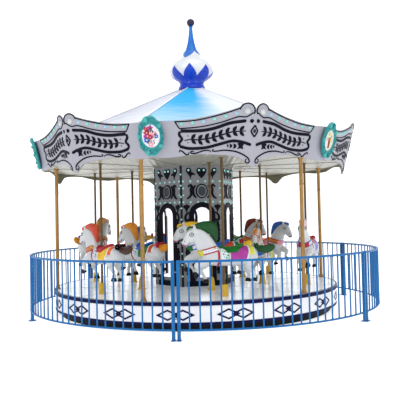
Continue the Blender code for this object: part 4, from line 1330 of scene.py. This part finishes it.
def dress_nodes():
    """Finishes on the CAD nodes that are kept."""
    finishes = {
        "base_frame": "black", "slewing_bearing": "steel", "deck_frame": "black", "canopy_frame": "black",
        "deck": "deck", "skirt": "skirt", "ceiling": "ceiling", "centre_column": "panel",
    }
    for k in range(1, SECTORS + 1):
        finishes[f"rounding_board_{k}"] = "board"
        finishes[f"pole_outer_{k}"] = finishes[f"pole_inner_{k}"] = "brass"
    for name, key in finishes.items():
        obj = bpy.data.objects[name]
        if not obj.data.materials:
            obj.data.materials.append(None)
        for spot in obj.material_slots:
            spot.link = "OBJECT"
            spot.material = M[key]


# Floor, light and camera


def make_stage():
    """Pale floor and backdrop in one sweep, soft sky light and large lamps."""
    bend = 22.0
    radius = 8.0
    side = [(-25.0, 0.0), (bend, 0.0)]
    side += [(bend + radius * sin(a), radius - radius * cos(a)) for a in sweep(10, 90, 9)]
    side.append((bend + radius, 40.0))
    n = len(side)
    mesh = bpy.data.meshes.new("floor")
    faces = [(i, i + n, i + n + 1, i + 1) for i in range(n - 1)]
    mesh.from_pydata([(x, *p) for x in (-40.0, 40.0) for p in side], [], faces)
    mesh.shade_smooth()
    mesh.materials.append(finish("floor_pale", "FAFAFA", 0.9, vary=0.02, scale=0.5, bump=0.02, glow=0.62))
    put("floor", mesh)
    world = bpy.data.worlds.new("studio")
    world.use_nodes = True
    feed(world.node_tree.nodes["Background"], {"Color": (0.96, 0.98, 1.0, 1), "Strength": 0.55})
    bpy.context.scene.world = world
    for name, spot, size, power in (
        ("key", (-7.0, -11.0, 9.5), 7.0, 520.0),
        ("fill", (9.0, -9.0, 6.0), 8.0, 260.0),
        ("back", (0.0, 10.0, 9.0), 8.0, 420.0),
        ("top", (1.5, -3.0, 13.0), 7.0, 260.0),
    ):
        data = bpy.data.lights.new(name, "AREA")
        data.size = size
        data.energy = power
        lamp = put(name, data)
        lamp.location = spot
        lamp.rotation_euler = (Vector((0, 0, 2.0)) - Vector(spot)).to_track_quat("-Z", "Y").to_euler()


def make_camera():
    """Camera at the photograph's angle."""
    pan = radians(0.5501)
    tilt = radians(1.8005)
    roll = radians(-1.2227)
    ahead = Vector((sin(pan) * cos(tilt), cos(pan) * cos(tilt), sin(tilt)))
    level = Vector((cos(pan), -sin(pan), 0))
    above = level.cross(ahead)
    right = level * cos(roll) + above * sin(roll)
    top = above * cos(roll) - level * sin(roll)
    data = bpy.data.cameras.new("camera")
    data.lens = 53.465
    data.sensor_width = 36.0
    data.clip_end = 200.0
    camera = put("camera", data)
    turn = Matrix((right, top, -ahead)).transposed().to_4x4()
    camera.matrix_world = Matrix.Translation((0.0, -11.50, 1.69)) @ turn
    bpy.context.scene.camera = camera


def main():
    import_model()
    make_materials()
    make_camera()
    make_stage()
    dress_nodes()
    make_skirt_ornament()
    make_deck_detail()
    make_posts()
    make_column()
    make_ceiling()
    make_roof()
    make_boards()
    make_medallions()
    make_finial()
    make_fence()
    make_horses()
    bpy.context.scene.view_settings.view_transform = "Standard"


main()
